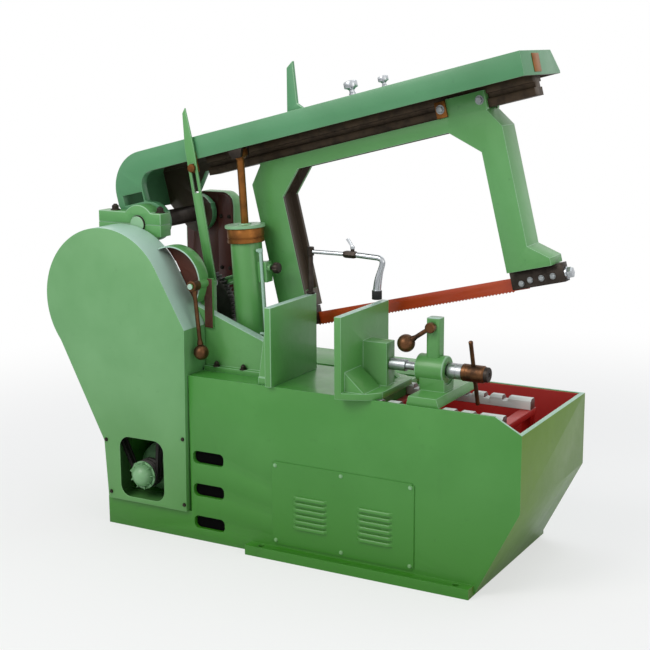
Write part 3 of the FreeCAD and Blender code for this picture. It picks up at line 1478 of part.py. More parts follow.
def make_latch_lever():
    """Spindle through the post, rod and ball that lift the latch."""
    body = new_body("latch_lever")
    post = d.post_size / 2
    radius, reach, drop = 6, d.latch_reach, d.latch_drop
    length = math.hypot(reach.value, drop.value)
    add(body, "front", -post - 20, post + 3, (0, 0, 9))
    add(body, "front", -post - 20, -post - 4, (0, 0, 14))
    middle = -post - 12
    rod_length = Size(length, "sqrt(Sizes.latch_reach * Sizes.latch_reach + Sizes.latch_drop * Sizes.latch_drop)")
    add(body, "side", -rod_length, 0, (middle, 0, radius))
    ball = body.newObject("PartDesign::AdditiveSphere", "latch_ball")
    ball.Radius = d.ball_radius.value
    ball.setExpression("Radius", (d.ball_radius + 2).text)
    ball.AttachmentSupport = [(f, "") for f in body.Origin.OriginFeatures if f.Role == "XY_Plane"]
    ball.MapMode = "FlatFace"
    quarter_turn = FreeCAD.Rotation(FreeCAD.Vector(0, 0, 1), 90)
    ball.AttachmentOffset = FreeCAD.Placement(FreeCAD.Vector(-length, middle.value, 0), quarter_turn)
    ball.setExpression("AttachmentOffset.Base.x", (-rod_length).text)
    ball.setExpression("AttachmentOffset.Base.y", middle.text)
    tilt = Size(math.degrees(math.atan2(drop.value, reach.value)), "atan2(Sizes.latch_drop; Sizes.latch_reach)")
    centre = (d.nut_left + d.nut_right) / 2 + 4
    return seat(body, centre, d.screw_y, d.post_top - 22, tilt)


def make_rack_rails():
    body = new_body("rack_rails")
    low, high = d.rack_top - d.rack_height, d.rack_top
    half = d.rack_width / 2
    count = int((d.rack_right.value - d.rack_left.value - d.rack_notch.value) // d.rack_pitch.value)
    for y in (d.rack_front_y, d.rack_rear_y):
        bevel = d.rack_chamfer
        add(body, "side", d.rack_left, d.rack_right,
            [(y - half, low), (y + half, low), (y + half, high - bevel), (y + half - bevel, high),
             (y - half + bevel, high), (y - half, high - bevel)])
        first = d.rack_left + d.rack_notch
        cut(body, "front", y - half, y + half,
            [(first, high), (first + 3, high - d.rack_notch_depth),
             (first + d.rack_notch - 3, high - d.rack_notch_depth), (first + d.rack_notch, high)])
        repeat(body, body.Tip, "front", "H_Axis", d.rack_pitch * (count - 1), Size(count))
    return seat(body)


def make_rack_support():
    body = new_body("rack_support")
    top = d.rack_top - d.rack_height
    floor = d.tray_floor + d.tray_sheet
    front, back = d.cabinet_wall + d.tray_sheet + 3 * d.gap, d.rack_rear_y + 24
    right = d.rack_right
    add(body, "front", front, back, box(right - 30, right, top - 18, top))
    for y in (front, back - 32):
        add(body, "front", y, y + 32, box(right - 28, right - 2, floor, top - 18))
    # ledge that carries the left end of the rails on the deck wall
    wall = d.deck_length + d.tray_sheet + 2 * d.gap
    add(body, "front", front, back, box(wall, wall + 26, top - 18, top))
    return seat(body)


# coolant line
def make_coolant_post():
    body = new_body("coolant_post")
    radius, low = d.coolant_post_radius, d.jaw_top
    top = d.coolant_height - 12
    spin(body, "z", [(0, low), (radius + 5, low), (radius + 5, low + 6), (radius, low + 8), (radius, top), (0, top)])
    return seat(body, d.fixed_jaw_face - d.jaw_plate / 2, d.coolant_y, 0)


def make_coolant_pipe():
    """Swivel head on the post, pipe with its tap body, and the bent end."""
    body = new_body("coolant_pipe")
    radius, reach = d.coolant_pipe_radius, d.coolant_elbow
    head = d.coolant_post_radius + 3
    spin(body, "z", [(0, -12 + d.gap), (head, -12 + d.gap), (head, 13), (0, 13)])
    add(body, "side", 0, 142, (0, 0, radius))
    add(body, "side", 118, 150, (0, -1, radius + 5))
    add(body, "side", 150, reach, (0, -2, radius + 2))
    add(body, "top", 2, 16, (134, 0, 5))
    drop = d.nozzle_length
    lean = d.nozzle_lean
    elbow = [(reach - 6, -10), (reach + 6, 4), (reach + 12, -8), (reach - lean + 9, -drop), (reach - lean - 9, -drop)]
    add(body, "front", -radius - 1, radius + 1, elbow)
    return seat(body, d.fixed_jaw_face - d.jaw_plate / 2, d.coolant_y, d.coolant_height)


def make_nozzle_tip():
    body = new_body("nozzle_tip")
    low = d.jaw_top + 2 - d.coolant_height
    high = -d.nozzle_length
    x = d.coolant_elbow - d.nozzle_lean
    add(body, "top", low, high, (x, 0, 14))
    return seat(body, d.fixed_jaw_face - d.jaw_plate / 2, d.coolant_y, d.coolant_height)


def make_tap_lever():
    body = new_body("tap_lever")
    add(body, "top", 16 + d.gap, 24, (0, 0, 6))
    add(body, "front", -2, 2, [(-5, 22), (5, 22), (-12, 46), (-20, 42)])
    return seat(body, d.fixed_jaw_face - d.jaw_plate / 2 + 134, d.coolant_y, d.coolant_height)


for make in (
        make_base_cabinet, make_chip_tray, make_service_panel, make_headstock, make_front_bearing_cap,
        make_cap_bolts, make_rear_column, make_gear_cover, make_pivot_shaft, make_gear_bracket, make_belt_guard,
        make_guard_backplate, make_motor, make_belt_pulley, make_countershaft, make_motor_pulley,
        make_drive_belts, make_crank_gear, make_drive_pinion, make_connecting_rod, make_crank_pin,
        make_arm_beam, make_slideway, make_horn_plate, make_oil_cups, make_arm_plate, make_lift_lug,
        make_trip_pin, make_bow_frame, make_bow_pin, make_slide_gib, make_saddle_bolts, make_saw_blade,
        make_blade_holders, make_blade_bolts, make_lift_foot, make_lift_cylinder, make_cylinder_cap,
        make_piston_rod, make_feed_valve, make_feed_knob, make_trip_bar, make_trip_pivot, make_control_lever,
        make_drive_hood, make_fixed_jaw, make_moving_jaw, make_vise_screw, make_screw_sleeve,
        make_screw_collar, make_screw_hub, make_tommy_bar, make_nut_bracket, make_nut_barrel,
        make_latch_post, make_latch_lever, make_rack_rails, make_rack_support, make_coolant_post,
        make_coolant_pipe, make_nozzle_tip, make_tap_lever):
    make()

doc.recompute()
os.makedirs("parts", exist_ok=True)
faults = [o.Label for o in doc.Objects if "Invalid" in o.State or "Error" in o.State]
pieces = [o for o in doc.Objects if o.TypeId == "PartDesign::Body" or o.TypeId == "Part::Feature"]
for piece in pieces:
    if piece.Shape.isNull() or not piece.Shape.isValid() or not piece.Shape.Solids:
        faults.append(piece.Label)
if faults:
    raise SystemExit("these did not build: " + ", ".join(faults))
for piece in pieces:
    piece.Shape.exportStep("parts/%s.step" % piece.Label)
print(len(pieces), "pieces written")
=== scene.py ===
import bpy
import bmesh
import json
import math
from mathutils import Matrix, Vector

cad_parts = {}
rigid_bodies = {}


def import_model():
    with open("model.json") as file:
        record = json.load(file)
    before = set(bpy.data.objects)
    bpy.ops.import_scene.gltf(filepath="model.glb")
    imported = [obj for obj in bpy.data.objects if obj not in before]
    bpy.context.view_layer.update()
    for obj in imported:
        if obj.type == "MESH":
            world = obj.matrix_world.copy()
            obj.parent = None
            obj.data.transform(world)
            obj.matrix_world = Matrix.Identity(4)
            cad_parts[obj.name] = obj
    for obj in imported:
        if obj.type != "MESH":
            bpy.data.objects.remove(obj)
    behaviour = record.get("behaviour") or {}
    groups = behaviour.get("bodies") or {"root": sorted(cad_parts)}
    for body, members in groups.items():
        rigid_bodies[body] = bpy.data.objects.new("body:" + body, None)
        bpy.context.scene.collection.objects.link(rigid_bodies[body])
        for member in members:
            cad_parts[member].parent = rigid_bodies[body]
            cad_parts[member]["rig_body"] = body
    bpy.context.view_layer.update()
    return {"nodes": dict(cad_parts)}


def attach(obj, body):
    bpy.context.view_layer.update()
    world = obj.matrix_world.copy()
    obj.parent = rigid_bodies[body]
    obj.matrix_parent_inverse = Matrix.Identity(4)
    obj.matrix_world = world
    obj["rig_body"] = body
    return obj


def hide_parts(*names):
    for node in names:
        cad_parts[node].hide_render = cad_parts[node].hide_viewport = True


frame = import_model()
scene = bpy.context.scene
print("frame loaded:", len(frame["nodes"]), "nodes")

# places are written in millimetres from the left end, front face and floor of the base cabinet
datum = {"x": 840, "y": 243}
arm = {"pivotX": 66, "pivotZ": 890, "raise": 13.8}


def at(x, y, z):
    return Vector(((x - datum["x"]) / 1000, (y - datum["y"]) / 1000, z / 1000))


def onArm(u, y, w):  # u runs along the raised arm, w square to it
    lean = math.radians(arm["raise"])
    return at(arm["pivotX"] + u * math.cos(lean) - w * math.sin(lean), y,
              arm["pivotZ"] + u * math.sin(lean) + w * math.cos(lean))


def millimetres(point):  # the same places back from a point of the frame
    return point.x * 1000 + datum["x"], point.y * 1000 + datum["y"], point.z * 1000


armAlong = Vector((math.cos(math.radians(arm["raise"])), 0, math.sin(math.radians(arm["raise"]))))
armUp = Vector((-armAlong.z, 0, armAlong.x))


# shader and node helpers
class Wire:
    def __init__(self, tree, socket):
        self.tree = tree
        self.socket = socket

    def math(self, kind, first, second):
        return self.node("ShaderNodeMath", {"operation": kind}, {0: first, 1: second})

    def __add__(self, other):
        return self.math("ADD", self, other)

    def __sub__(self, other):
        return self.math("SUBTRACT", self, other)

    def __mul__(self, other):
        return self.math("MULTIPLY", self, other)

    def __truediv__(self, other):
        return self.math("DIVIDE", self, other)

    def __rsub__(self, other):
        return self.math("SUBTRACT", other, self)

    __radd__ = __add__
    __rmul__ = __mul__

    def node(self, kind, settings=None, inputs=None, out=0):
        made = self.tree.nodes.new(kind)
        for name, value in (settings or {}).items():
            if name == "stops":
                ramp = made.color_ramp
                while len(ramp.elements) < len(value):
                    ramp.elements.new(0.5)
                for element, (place, shade) in zip(ramp.elements, value):
                    element.position = place
                    element.color = (shade, shade, shade, 1) if isinstance(shade, (int, float)) else shade
            else:
                setattr(made, name, value)
        for name, value in (inputs or {}).items():
            if isinstance(value, Wire):
                self.tree.links.new(value.socket, made.inputs[name])
            else:
                made.inputs[name].default_value = value
        return Wire(self.tree, made.outputs[out])

    def mix(self, low, high):  # this wire is the share of the second colour
        return self.node("ShaderNodeMix", {"data_type": "RGBA"}, {0: self, 6: low, 7: high}, 2)

    def clamp(self, low, high):
        return self.node("ShaderNodeMapRange", {"interpolation_type": "SMOOTHSTEP"},
                         {0: self, 1: low, 2: high, 3: 0.0, 4: 1.0})


def tone(code):  # a colour as a screen shows it, to linear
    parts = [int(code[i:i + 2], 16) / 255 for i in (1, 3, 5)]
    return tuple([p / 12.92 if p <= 0.04045 else ((p + 0.055) / 1.055) ** 2.4 for p in parts] + [1.0])


def newMaterial(name):
    material = bpy.data.materials.new(name)
    material.use_nodes = True
    tree = material.node_tree
    shader = tree.nodes["Principled BSDF"]
    place = Wire(tree, None).node("ShaderNodeTexCoord", out="Object")
    return material, shader, place


def noiseAt(place, scale, detail=3.0, rough=0.55, stretch=(1, 1, 1)):
    if stretch != (1, 1, 1):
        place = place.node("ShaderNodeMapping", None, {"Vector": place, "Scale": stretch})
    return place.node("ShaderNodeTexNoise", None,
                      {"Vector": place, "Scale": scale, "Detail": detail, "Roughness": rough})


def feed(shader, name, value):
    if isinstance(value, Wire):
        value.tree.links.new(value.socket, shader.inputs[name])
    else:
        shader.inputs[name].default_value = value


def bump(place, height, strength, distance, under=None):
    inputs = {"Height": height, "Strength": strength, "Distance": distance}
    if under:
        inputs["Normal"] = under
    return place.node("ShaderNodeBump", None, inputs)


def paint(name, look):
    # enamel brushed over cast iron or sheet: patchy colour, soft lumps, a little grime, and painted shade
    # that darkens the colour towards the floor
    material, shader, place = newMaterial(name)
    low = place.node("ShaderNodeSeparateXYZ", None, {0: place}, 2)
    patches = noiseAt(place, 2.6, 4).clamp(0.36, 0.66)
    colour = (patches * 0.8).mix(look["body"], look["faded"])
    # painted shade: below the top height of the gradient the colour turns towards the darker low colour
    shadeToFloor = (1 - low.clamp(0.0, look.get("shadeTop", 0.55))) * look.get("floorShadeShare", 0.75)
    colour = shadeToFloor.mix(colour, look["low"])
    specks = noiseAt(place, 38, 6, 0.65).clamp(0.60, 0.78) * look.get("grime", 0.35)
    colour = specks.mix(colour, look["dirt"])
    streaks = noiseAt(place, 9, 5, 0.6, (1, 1, 0.18)).clamp(0.58, 0.80) * look.get("streaks", 0.22)
    colour = streaks.mix(colour, look["dirt"])
    feed(shader, "Base Color", colour)
    feed(shader, "Roughness", look.get("rough", 0.34) + 0.16 * noiseAt(place, 24, 4) + 0.15 * specks)
    lumps = bump(place, noiseAt(place, look.get("lumpScale", 26), 3), look.get("lumps", 0.16), 0.004)
    peel = bump(place, noiseAt(place, 420, 2), look.get("peel", 0.10), 0.0006, lumps)
    feed(shader, "Normal", peel)
    shader.inputs["Specular IOR Level"].default_value = 0.5
    shader.inputs["Coat Weight"].default_value = look.get("coat", 0.25)
    shader.inputs["Coat Roughness"].default_value = 0.16
    return material


def metal(name, look):
    # turned, ground or blackened metal with oil film and fine tool lines
    material, shader, place = newMaterial(name)
    film = noiseAt(place, look.get("filmScale", 30), 5, 0.6).clamp(0.38, 0.70)
    colour = (film * look.get("filmShare", 0.7)).mix(look["body"], look["film"])
    pits = noiseAt(place, 160, 4, 0.6).clamp(0.62, 0.80)
    colour = (pits * look.get("pits", 0.4)).mix(colour, look["dirt"])
    feed(shader, "Base Color", colour)
    feed(shader, "Metallic", look.get("metallic", 0.9) - 0.5 * look.get("pits", 0.4) * pits)
    lines = noiseAt(place, 60, 2, 0.5, look.get("lines", (1, 1, 14)))
    feed(shader, "Roughness", look.get("rough", 0.34) + 0.18 * film + 0.08 * lines)
    feed(shader, "Normal", bump(place, lines, look.get("lineDepth", 0.10), 0.0008,
                                bump(place, noiseAt(place, 90, 3), look.get("lumps", 0.06), 0.001)))
    return material


def plain(name, look):
    # rubber, gauze and other dull surfaces
    material, shader, place = newMaterial(name)
    dust = noiseAt(place, look.get("dustScale", 55), 5).clamp(0.46, 0.74)
    feed(shader, "Base Color", (dust * look.get("dust", 0.4)).mix(look["body"], look["dirt"]))
    feed(shader, "Roughness", look.get("rough", 0.62) + 0.2 * dust)
    feed(shader, "Normal", bump(place, noiseAt(place, 240, 3), 0.2, 0.0008))
    shader.inputs["Specular IOR Level"].default_value = look.get("specular", 0.35)
    return material


# in each paint, low is the darker colour of the painted shade near the floor
finishes = {
    "cabinetGreen": paint("cabinetGreen", {
        "body": tone("#418A34"), "faded": tone("#4E9642"), "low": tone("#307A08"), "dirt": tone("#28501E"),
        "shadeTop": 0.42, "floorShadeShare": 0.85, "lumps": 0.10, "lumpScale": 14, "rough": 0.36, "grime": 0.24}),
    # olive: painted shade for the cabinet's right end face, which the lamps light less
    "endShadeOlive": paint("endShadeOlive", {
        "body": tone("#5C8204"), "faded": tone("#688E14"), "low": tone("#3E6A08"), "dirt": tone("#324A14"),
        "shadeTop": 0.42, "floorShadeShare": 0.8, "lumps": 0.12, "lumpScale": 16, "grime": 0.26}),
    "guardGreen": paint("guardGreen", {
        "body": tone("#68A266"), "faded": tone("#7AB278"), "low": tone("#4E8A3A"), "dirt": tone("#386434"),
        "shadeTop": 0.60, "lumps": 0.08, "lumpScale": 10, "grime": 0.16}),
    "castGreen": paint("castGreen", {
        "body": tone("#569650"), "faded": tone("#64A662"), "low": tone("#4A8C2C"), "dirt": tone("#2C5430"),
        "shadeTop": 1.05, "floorShadeShare": 0.6, "lumps": 0.22, "lumpScale": 32, "grime": 0.28}),
    # bluish green of the arm and horn plate: painted cool light from above on the same green enamel
    "armCoolLitGreen": paint("armCoolLitGreen", {
        "body": tone("#4C8A5C"), "faded": tone("#5A9A6C"), "low": tone("#46824C"), "dirt": tone("#2A5034"),
        "shadeTop": 1.05, "floorShadeShare": 0.5, "lumps": 0.18, "lumpScale": 26, "grime": 0.24}),
    # pale green of the rounded edges: painted highlight; also the colour of the panel screws, the pivot
    # shaft's front cap and the cylinder cap's ring
    "edgeHighlightGreen": paint("edgeHighlightGreen", {
        "body": tone("#86B68A"), "faded": tone("#98C49C"), "low": tone("#74A864"), "dirt": tone("#4C7A4C"),
        "grime": 0.22, "streaks": 0.1, "lumps": 0.05}),
    # paler green: painted highlight on lit tops, rims and the belt guard's band; the oil pipe is this green
    # all over
    "paleGreen": paint("paleGreen", {
        "body": tone("#A4C8B6"), "faded": tone("#B8D6C8"), "low": tone("#8EBA86"), "dirt": tone("#5E8468"),
        "grime": 0.26, "streaks": 0.1, "lumps": 0.08, "shadeTop": 0.62}),
    "trayRed": paint("trayRed", {
        "body": tone("#A6140E"), "faded": tone("#B21E16"), "low": tone("#98100C"), "dirt": tone("#4A1410"),
        "grime": 0.35, "rough": 0.40}),
    "coverMaroon": paint("coverMaroon", {
        "body": tone("#4A1812"), "faded": tone("#561E16"), "low": tone("#3C120E"), "dirt": tone("#200E0C"),
        "grime": 0.30, "rough": 0.42}),
    # dark maroon: the paint inside the drive hood, and painted shade on the rack's lower part and tooth
    # sides
    "maroonAndShade": paint("maroonAndShade", {
        "body": tone("#4A2018"), "faded": tone("#5A2A1C"), "low": tone("#3A1812"), "dirt": tone("#1C100C"),
        "grime": 0.5, "rough": 0.5}),
    # dark brown: painted shade in the bow's recess and under and inside the arm, where there is also brown
    # oil and rust
    "oilAndShadeBrown": paint("oilAndShadeBrown", {
        "body": tone("#3A2C1C"), "faded": tone("#4A3A22"), "low": tone("#30221A"), "dirt": tone("#16100A"),
        "grime": 0.55, "rough": 0.48, "streaks": 0.4}),
    "rackWhite": paint("rackWhite", {
        "body": tone("#CCD2CE"), "faded": tone("#DADEDA"), "low": tone("#C2C8C2"), "dirt": tone("#6E6A60"),
        "grime": 0.4, "rough": 0.45}),
    "bladeOrange": paint("bladeOrange", {
        "body": tone("#B0380E"), "faded": tone("#BE4816"), "low": tone("#A63008"), "dirt": tone("#641E08"),
        "grime": 0.3, "lumps": 0.03, "floorShadeShare": 0.2}),
    "motorGreen": paint("motorGreen", {
        "body": tone("#82B486"), "faded": tone("#98C49A"), "low": tone("#6EA26A"), "dirt": tone("#2C4A2E"),
        "grime": 0.4}),
    "oilyBrown": metal("oilyBrown", {
        "body": tone("#4A3A28"), "film": tone("#2C2218"), "dirt": tone("#18100A"), "metallic": 0.45,
        "rough": 0.40, "lines": (12, 1, 1)}),
    "groundSteel": metal("groundSteel", {
        "body": tone("#A9AEB0"), "film": tone("#858A8C"), "dirt": tone("#4A4640"), "rough": 0.26,
        "pits": 0.3}),
    "darkSteel": metal("darkSteel", {
        "body": tone("#3A322C"), "film": tone("#241D18"), "dirt": tone("#120E0C"), "metallic": 0.7,
        "rough": 0.38}),
    "turnedBronze": metal("turnedBronze", {
        "body": tone("#96602C"), "film": tone("#5E3A1C"), "dirt": tone("#2E1C0E"), "metallic": 0.85,
        "rough": 0.32, "filmScale": 16, "filmShare": 0.85}),
    "darkBronze": metal("darkBronze", {
        "body": tone("#6A462A"), "film": tone("#2A1E14"), "dirt": tone("#140E08"), "metallic": 0.8,
        "rough": 0.28, "filmScale": 20, "filmShare": 0.95}),
    "castIron": metal("castIron", {
        "body": tone("#4E4C4A"), "film": tone("#34302C"), "dirt": tone("#1C1814"), "metallic": 0.6,
        "rough": 0.48, "lumps": 0.2}),
    "platedSteel": metal("platedSteel", {
        "body": tone("#C2C6CA"), "film": tone("#AEB2B6"), "dirt": tone("#6A6C6E"), "metallic": 1.0,
        "rough": 0.14, "pits": 0.12, "lineDepth": 0.02}),
    "beltRubber": plain("beltRubber", {"body": tone("#1A1816"), "dirt": tone("#3A342C")}),
    # near black: painted shade deep inside the vents
    "ventBlack": plain("ventBlack", {"body": tone("#060606"), "dirt": tone("#101010"), "rough": 0.9,
                                     "specular": 0.05}),
    "tipRubber": plain("tipRubber", {"body": tone("#15181A"), "dirt": tone("#2A2C2C"), "rough": 0.5}),
}
print("finishes made:", len(finishes))


# mesh helpers
def settle(piece):  # live modifiers become plain mesh
    graph = bpy.context.evaluated_depsgraph_get()
    mesh = bpy.data.meshes.new_from_object(piece.evaluated_get(graph), depsgraph=graph)
    piece.modifiers.clear()
    piece.data = mesh
    return mesh


def shadeMesh(mesh, angle=34):
    mesh.polygons.foreach_set("use_smooth", [True] * len(mesh.polygons))
    mesh.set_sharp_from_angle(angle=math.radians(angle))


def addPiece(name, bm, finish, body, stands=(), angle=34, flip=True):
    if flip:
        bmesh.ops.recalc_face_normals(bm, faces=bm.faces)
    mesh = bpy.data.meshes.new(name)
    bm.to_mesh(mesh)
    bm.free()
    for one in [finish] if isinstance(finish, str) else finish:
        mesh.materials.append(finishes[one])
    piece = bpy.data.objects.new(name, mesh)
    scene.collection.objects.link(piece)
    shadeMesh(mesh, angle)
    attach(piece, body)
    if stands:
        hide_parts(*stands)
    return piece


def softEdges(node, width, finish, edge=None, segments=2, angle=30, zones=()):
    # copy of a CAD node with its sharp edges rounded; the round may have its own finish, often a pale green
    # as painted highlight, and so may zones, each a finish and a test of a face's place and normal
    source = frame["nodes"][node]
    bm = bmesh.new()
    bm.from_mesh(source.data)
    bmesh.ops.remove_doubles(bm, verts=bm.verts, dist=2e-5)
    bmesh.ops.dissolve_limit(bm, angle_limit=math.radians(0.7), verts=bm.verts, edges=bm.edges)
    mesh = bpy.data.meshes.new(node + "_finished")
    bm.to_mesh(mesh)
    bm.free()
    mesh.materials.append(finishes[finish])
    mesh.materials.append(finishes[edge or finish])
    piece = bpy.data.objects.new(node + "_finished", mesh)
    scene.collection.objects.link(piece)
    bevel = piece.modifiers.new("round", "BEVEL")
    bevel.width = width / 1000
    bevel.segments = segments
    bevel.limit_method = "ANGLE"
    bevel.angle_limit = math.radians(angle)
    bevel.miter_outer = "MITER_ARC"
    bevel.material = 1
    bevel.use_clamp_overlap = True
    mesh = settle(piece)
    shadeMesh(mesh, 38)
    for mark, (look, inside) in enumerate(zones, 2):
        mesh.materials.append(finishes[look])
        for polygon in mesh.polygons:
            if inside(*millimetres(polygon.center), polygon.normal):
                polygon.material_index = mark
    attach(piece, source["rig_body"])
    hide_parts(node)
    return piece


def litTopFaces(level):  # a zone of upward faces above a level, for painted highlight on lit tops
    return lambda x, y, z, n: n.z > 0.6 and z > level


def ringAt(bm, centre, along, radius, steps, phase=0.0):
    along = along.normalized()
    side = along.orthogonal().normalized()
    up = along.cross(side)
    points = []
    for i in range(steps):
        turn = phase + 2 * math.pi * i / steps
        points.append(bm.verts.new(centre + radius * (math.cos(turn) * side + math.sin(turn) * up)))
    return points


def turned(bm, foot, along, profile, steps=48, phase=0.0, mark=0):
    # profile is (radius, station) in millimetres along the axis; ends are closed
    along = along.normalized()
    rings = []
    for radius, station in profile:
        middle = foot + along * station / 1000
        rings.append(ringAt(bm, middle, along, max(radius, 0.05) / 1000, steps, phase))
    faces = []
    for low, high in zip(rings, rings[1:]):
        for i in range(steps):
            j = (i + 1) % steps
            faces.append(bm.faces.new((low[i], low[j], high[j], high[i])))
    faces.append(bm.faces.new(rings[0][::-1]))
    faces.append(bm.faces.new(rings[-1]))
    for face in faces:
        face.material_index = mark
    return rings


def arcProfile(centre, radius, first, last, count):
    # points of a round nose or ball, as (radius, station)
    turns = [math.radians(first + (last - first) * i / (count - 1)) for i in range(count)]
    return [(radius * math.sin(t), centre - radius * math.cos(t)) for t in turns]


def tubeAlong(bm, points, radii, steps=20, mark=0):
    # tube through points, with a radius in millimetres at each
    rings = []
    for i, point in enumerate(points):
        before = points[max(i - 1, 0)]
        after = points[min(i + 1, len(points) - 1)]
        heading = (after - before).normalized()
        rings.append((point, heading, radii[i] if isinstance(radii, (list, tuple)) else radii))
    side = rings[0][1].orthogonal().normalized()
    loops = []
    for point, heading, radius in rings:
        side = (side - heading * side.dot(heading)).normalized()
        up = heading.cross(side)
        loops.append([bm.verts.new(point + radius / 1000 * (math.cos(t) * side + math.sin(t) * up))
                      for t in [2 * math.pi * k / steps for k in range(steps)]])
    faces = []
    for low, high in zip(loops, loops[1:]):
        for i in range(steps):
            j = (i + 1) % steps
            faces.append(bm.faces.new((low[i], low[j], high[j], high[i])))
    faces.append(bm.faces.new(loops[0][::-1]))
    faces.append(bm.faces.new(loops[-1]))
    for face in faces:
        face.material_index = mark


def smoothPath(corners, bend, steps=7):
    # straight runs joined by round bends, bend in millimetres
    path = [corners[0]]
    for before, corner, after in zip(corners, corners[1:], corners[2:]):
        start = corner + (before - corner).normalized() * bend / 1000
        stop = corner + (after - corner).normalized() * bend / 1000
        for i in range(steps + 1):
            t = i / steps
            path.append(start * (1 - t) ** 2 + corner * 2 * t * (1 - t) + stop * t ** 2)
    path.append(corners[-1])
    return path


# geometry nodes helpers
def newTree(name, inputs):
    tree = bpy.data.node_groups.new(name, "GeometryNodeTree")
    tree.interface.new_socket("Geometry", in_out="INPUT", socket_type="NodeSocketGeometry")
    sockets = {}
    for label, kind, value in inputs:
        socket = tree.interface.new_socket(label, in_out="INPUT", socket_type=kind)
        if value is not None:
            socket.default_value = value
        sockets[label] = socket.identifier
    tree.interface.new_socket("Geometry", in_out="OUTPUT", socket_type="NodeSocketGeometry")
    entry = tree.nodes.new("NodeGroupInput")
    wires = {socket.name: Wire(tree, socket) for socket in entry.outputs if socket.name}
    return tree, wires, sockets, Wire(tree, None)


def closeTree(tree, placed, finish):
    real = placed.node("GeometryNodeRealizeInstances", None, {"Geometry": placed})
    made = placed.node("GeometryNodeSetMaterial", None, {"Geometry": real, "Material": finish})
    final = tree.nodes.new("NodeGroupOutput")
    tree.links.new(made.socket, final.inputs[0])


def runTree(name, tree, sockets, values, body, points=None, angle=34):
    # one plain mesh from a tree; the modifier is gone before the piece is handed on
    mesh = bpy.data.meshes.new(name)
    if points:
        mesh.from_pydata([tuple(p) for p in points], [], [])
    piece = bpy.data.objects.new(name, mesh)
    scene.collection.objects.link(piece)
    modifier = piece.modifiers.new("build", "NODES")
    modifier.node_group = tree
    for label, value in values.items():
        modifier[sockets[label]] = value
    made = settle(piece)
    shadeMesh(made, angle)
    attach(piece, body)
    return piece


def screwHeadTree():
    # washer and chamfered head at every point of the input mesh, turned to one direction
    tree, wire, sockets, start = newTree("screwHeads", [
        ("Sides", "NodeSocketInt", 6), ("Across", "NodeSocketFloat", 0.01),
        ("Height", "NodeSocketFloat", 0.006), ("Washer", "NodeSocketFloat", 0.002),
        ("Stud", "NodeSocketFloat", 0.0),
        ("Turn", "NodeSocketVector", (0, 0, 0)), ("Finish", "NodeSocketMaterial", None)])
    half = wire["Across"] * 0.5

    def disc(radiusLow, radiusHigh, depth, level, sides):
        cone = start.node("GeometryNodeMeshCone", None, {
            "Vertices": sides, "Radius Bottom": radiusLow, "Radius Top": radiusHigh, "Depth": depth})
        lift = start.node("ShaderNodeCombineXYZ", None, {"Z": level})
        return start.node("GeometryNodeTransform", None, {"Geometry": cone, "Translation": lift})

    across, washer, height = wire["Across"], wire["Washer"], wire["Height"]
    ring = disc(across * 0.66, across * 0.63, washer, 0.0, 28)
    body = disc(half, half, height * 0.8, washer, wire["Sides"])
    crown = disc(half, across * 0.40, height * 0.2, washer + height * 0.8, wire["Sides"])
    stud = disc(across * 0.27, across * 0.24, wire["Stud"], washer + height, 16)
    joined = tree.nodes.new("GeometryNodeJoinGeometry")
    for part in (ring, body, crown, stud):
        tree.links.new(part.socket, joined.inputs[0])
    head = Wire(tree, joined.outputs[0])
    turn = start.node("FunctionNodeEulerToRotation", None, {0: wire["Turn"]})
    spots = start.node("GeometryNodeMeshToPoints", None, {"Mesh": wire["Geometry"]})
    placed = start.node("GeometryNodeInstanceOnPoints", None, {
        "Points": spots, "Instance": head, "Rotation": turn})
    closeTree(tree, placed, wire["Finish"])
    return tree, sockets


screwTree, screwSockets = screwHeadTree()


def screwHeads(name, points, facing, look, body, stands=()):
    # facing is the way that the heads point
    turn = facing.to_track_quat("Z", "Y").to_euler()
    piece = runTree(name, screwTree, screwSockets, {
        "Sides": look.get("sides", 6), "Across": look["across"] / 1000, "Height": look["height"] / 1000,
        "Washer": look.get("washer", 2.0) / 1000, "Stud": look.get("stud", 0.05) / 1000,
        "Turn": tuple(turn), "Finish": finishes[look["finish"]]}, body,
        points)
    if stands:
        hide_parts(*stands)
    return piece


front, right, up = Vector((0, -1, 0)), Vector((1, 0, 0)), Vector((0, 0, 1))

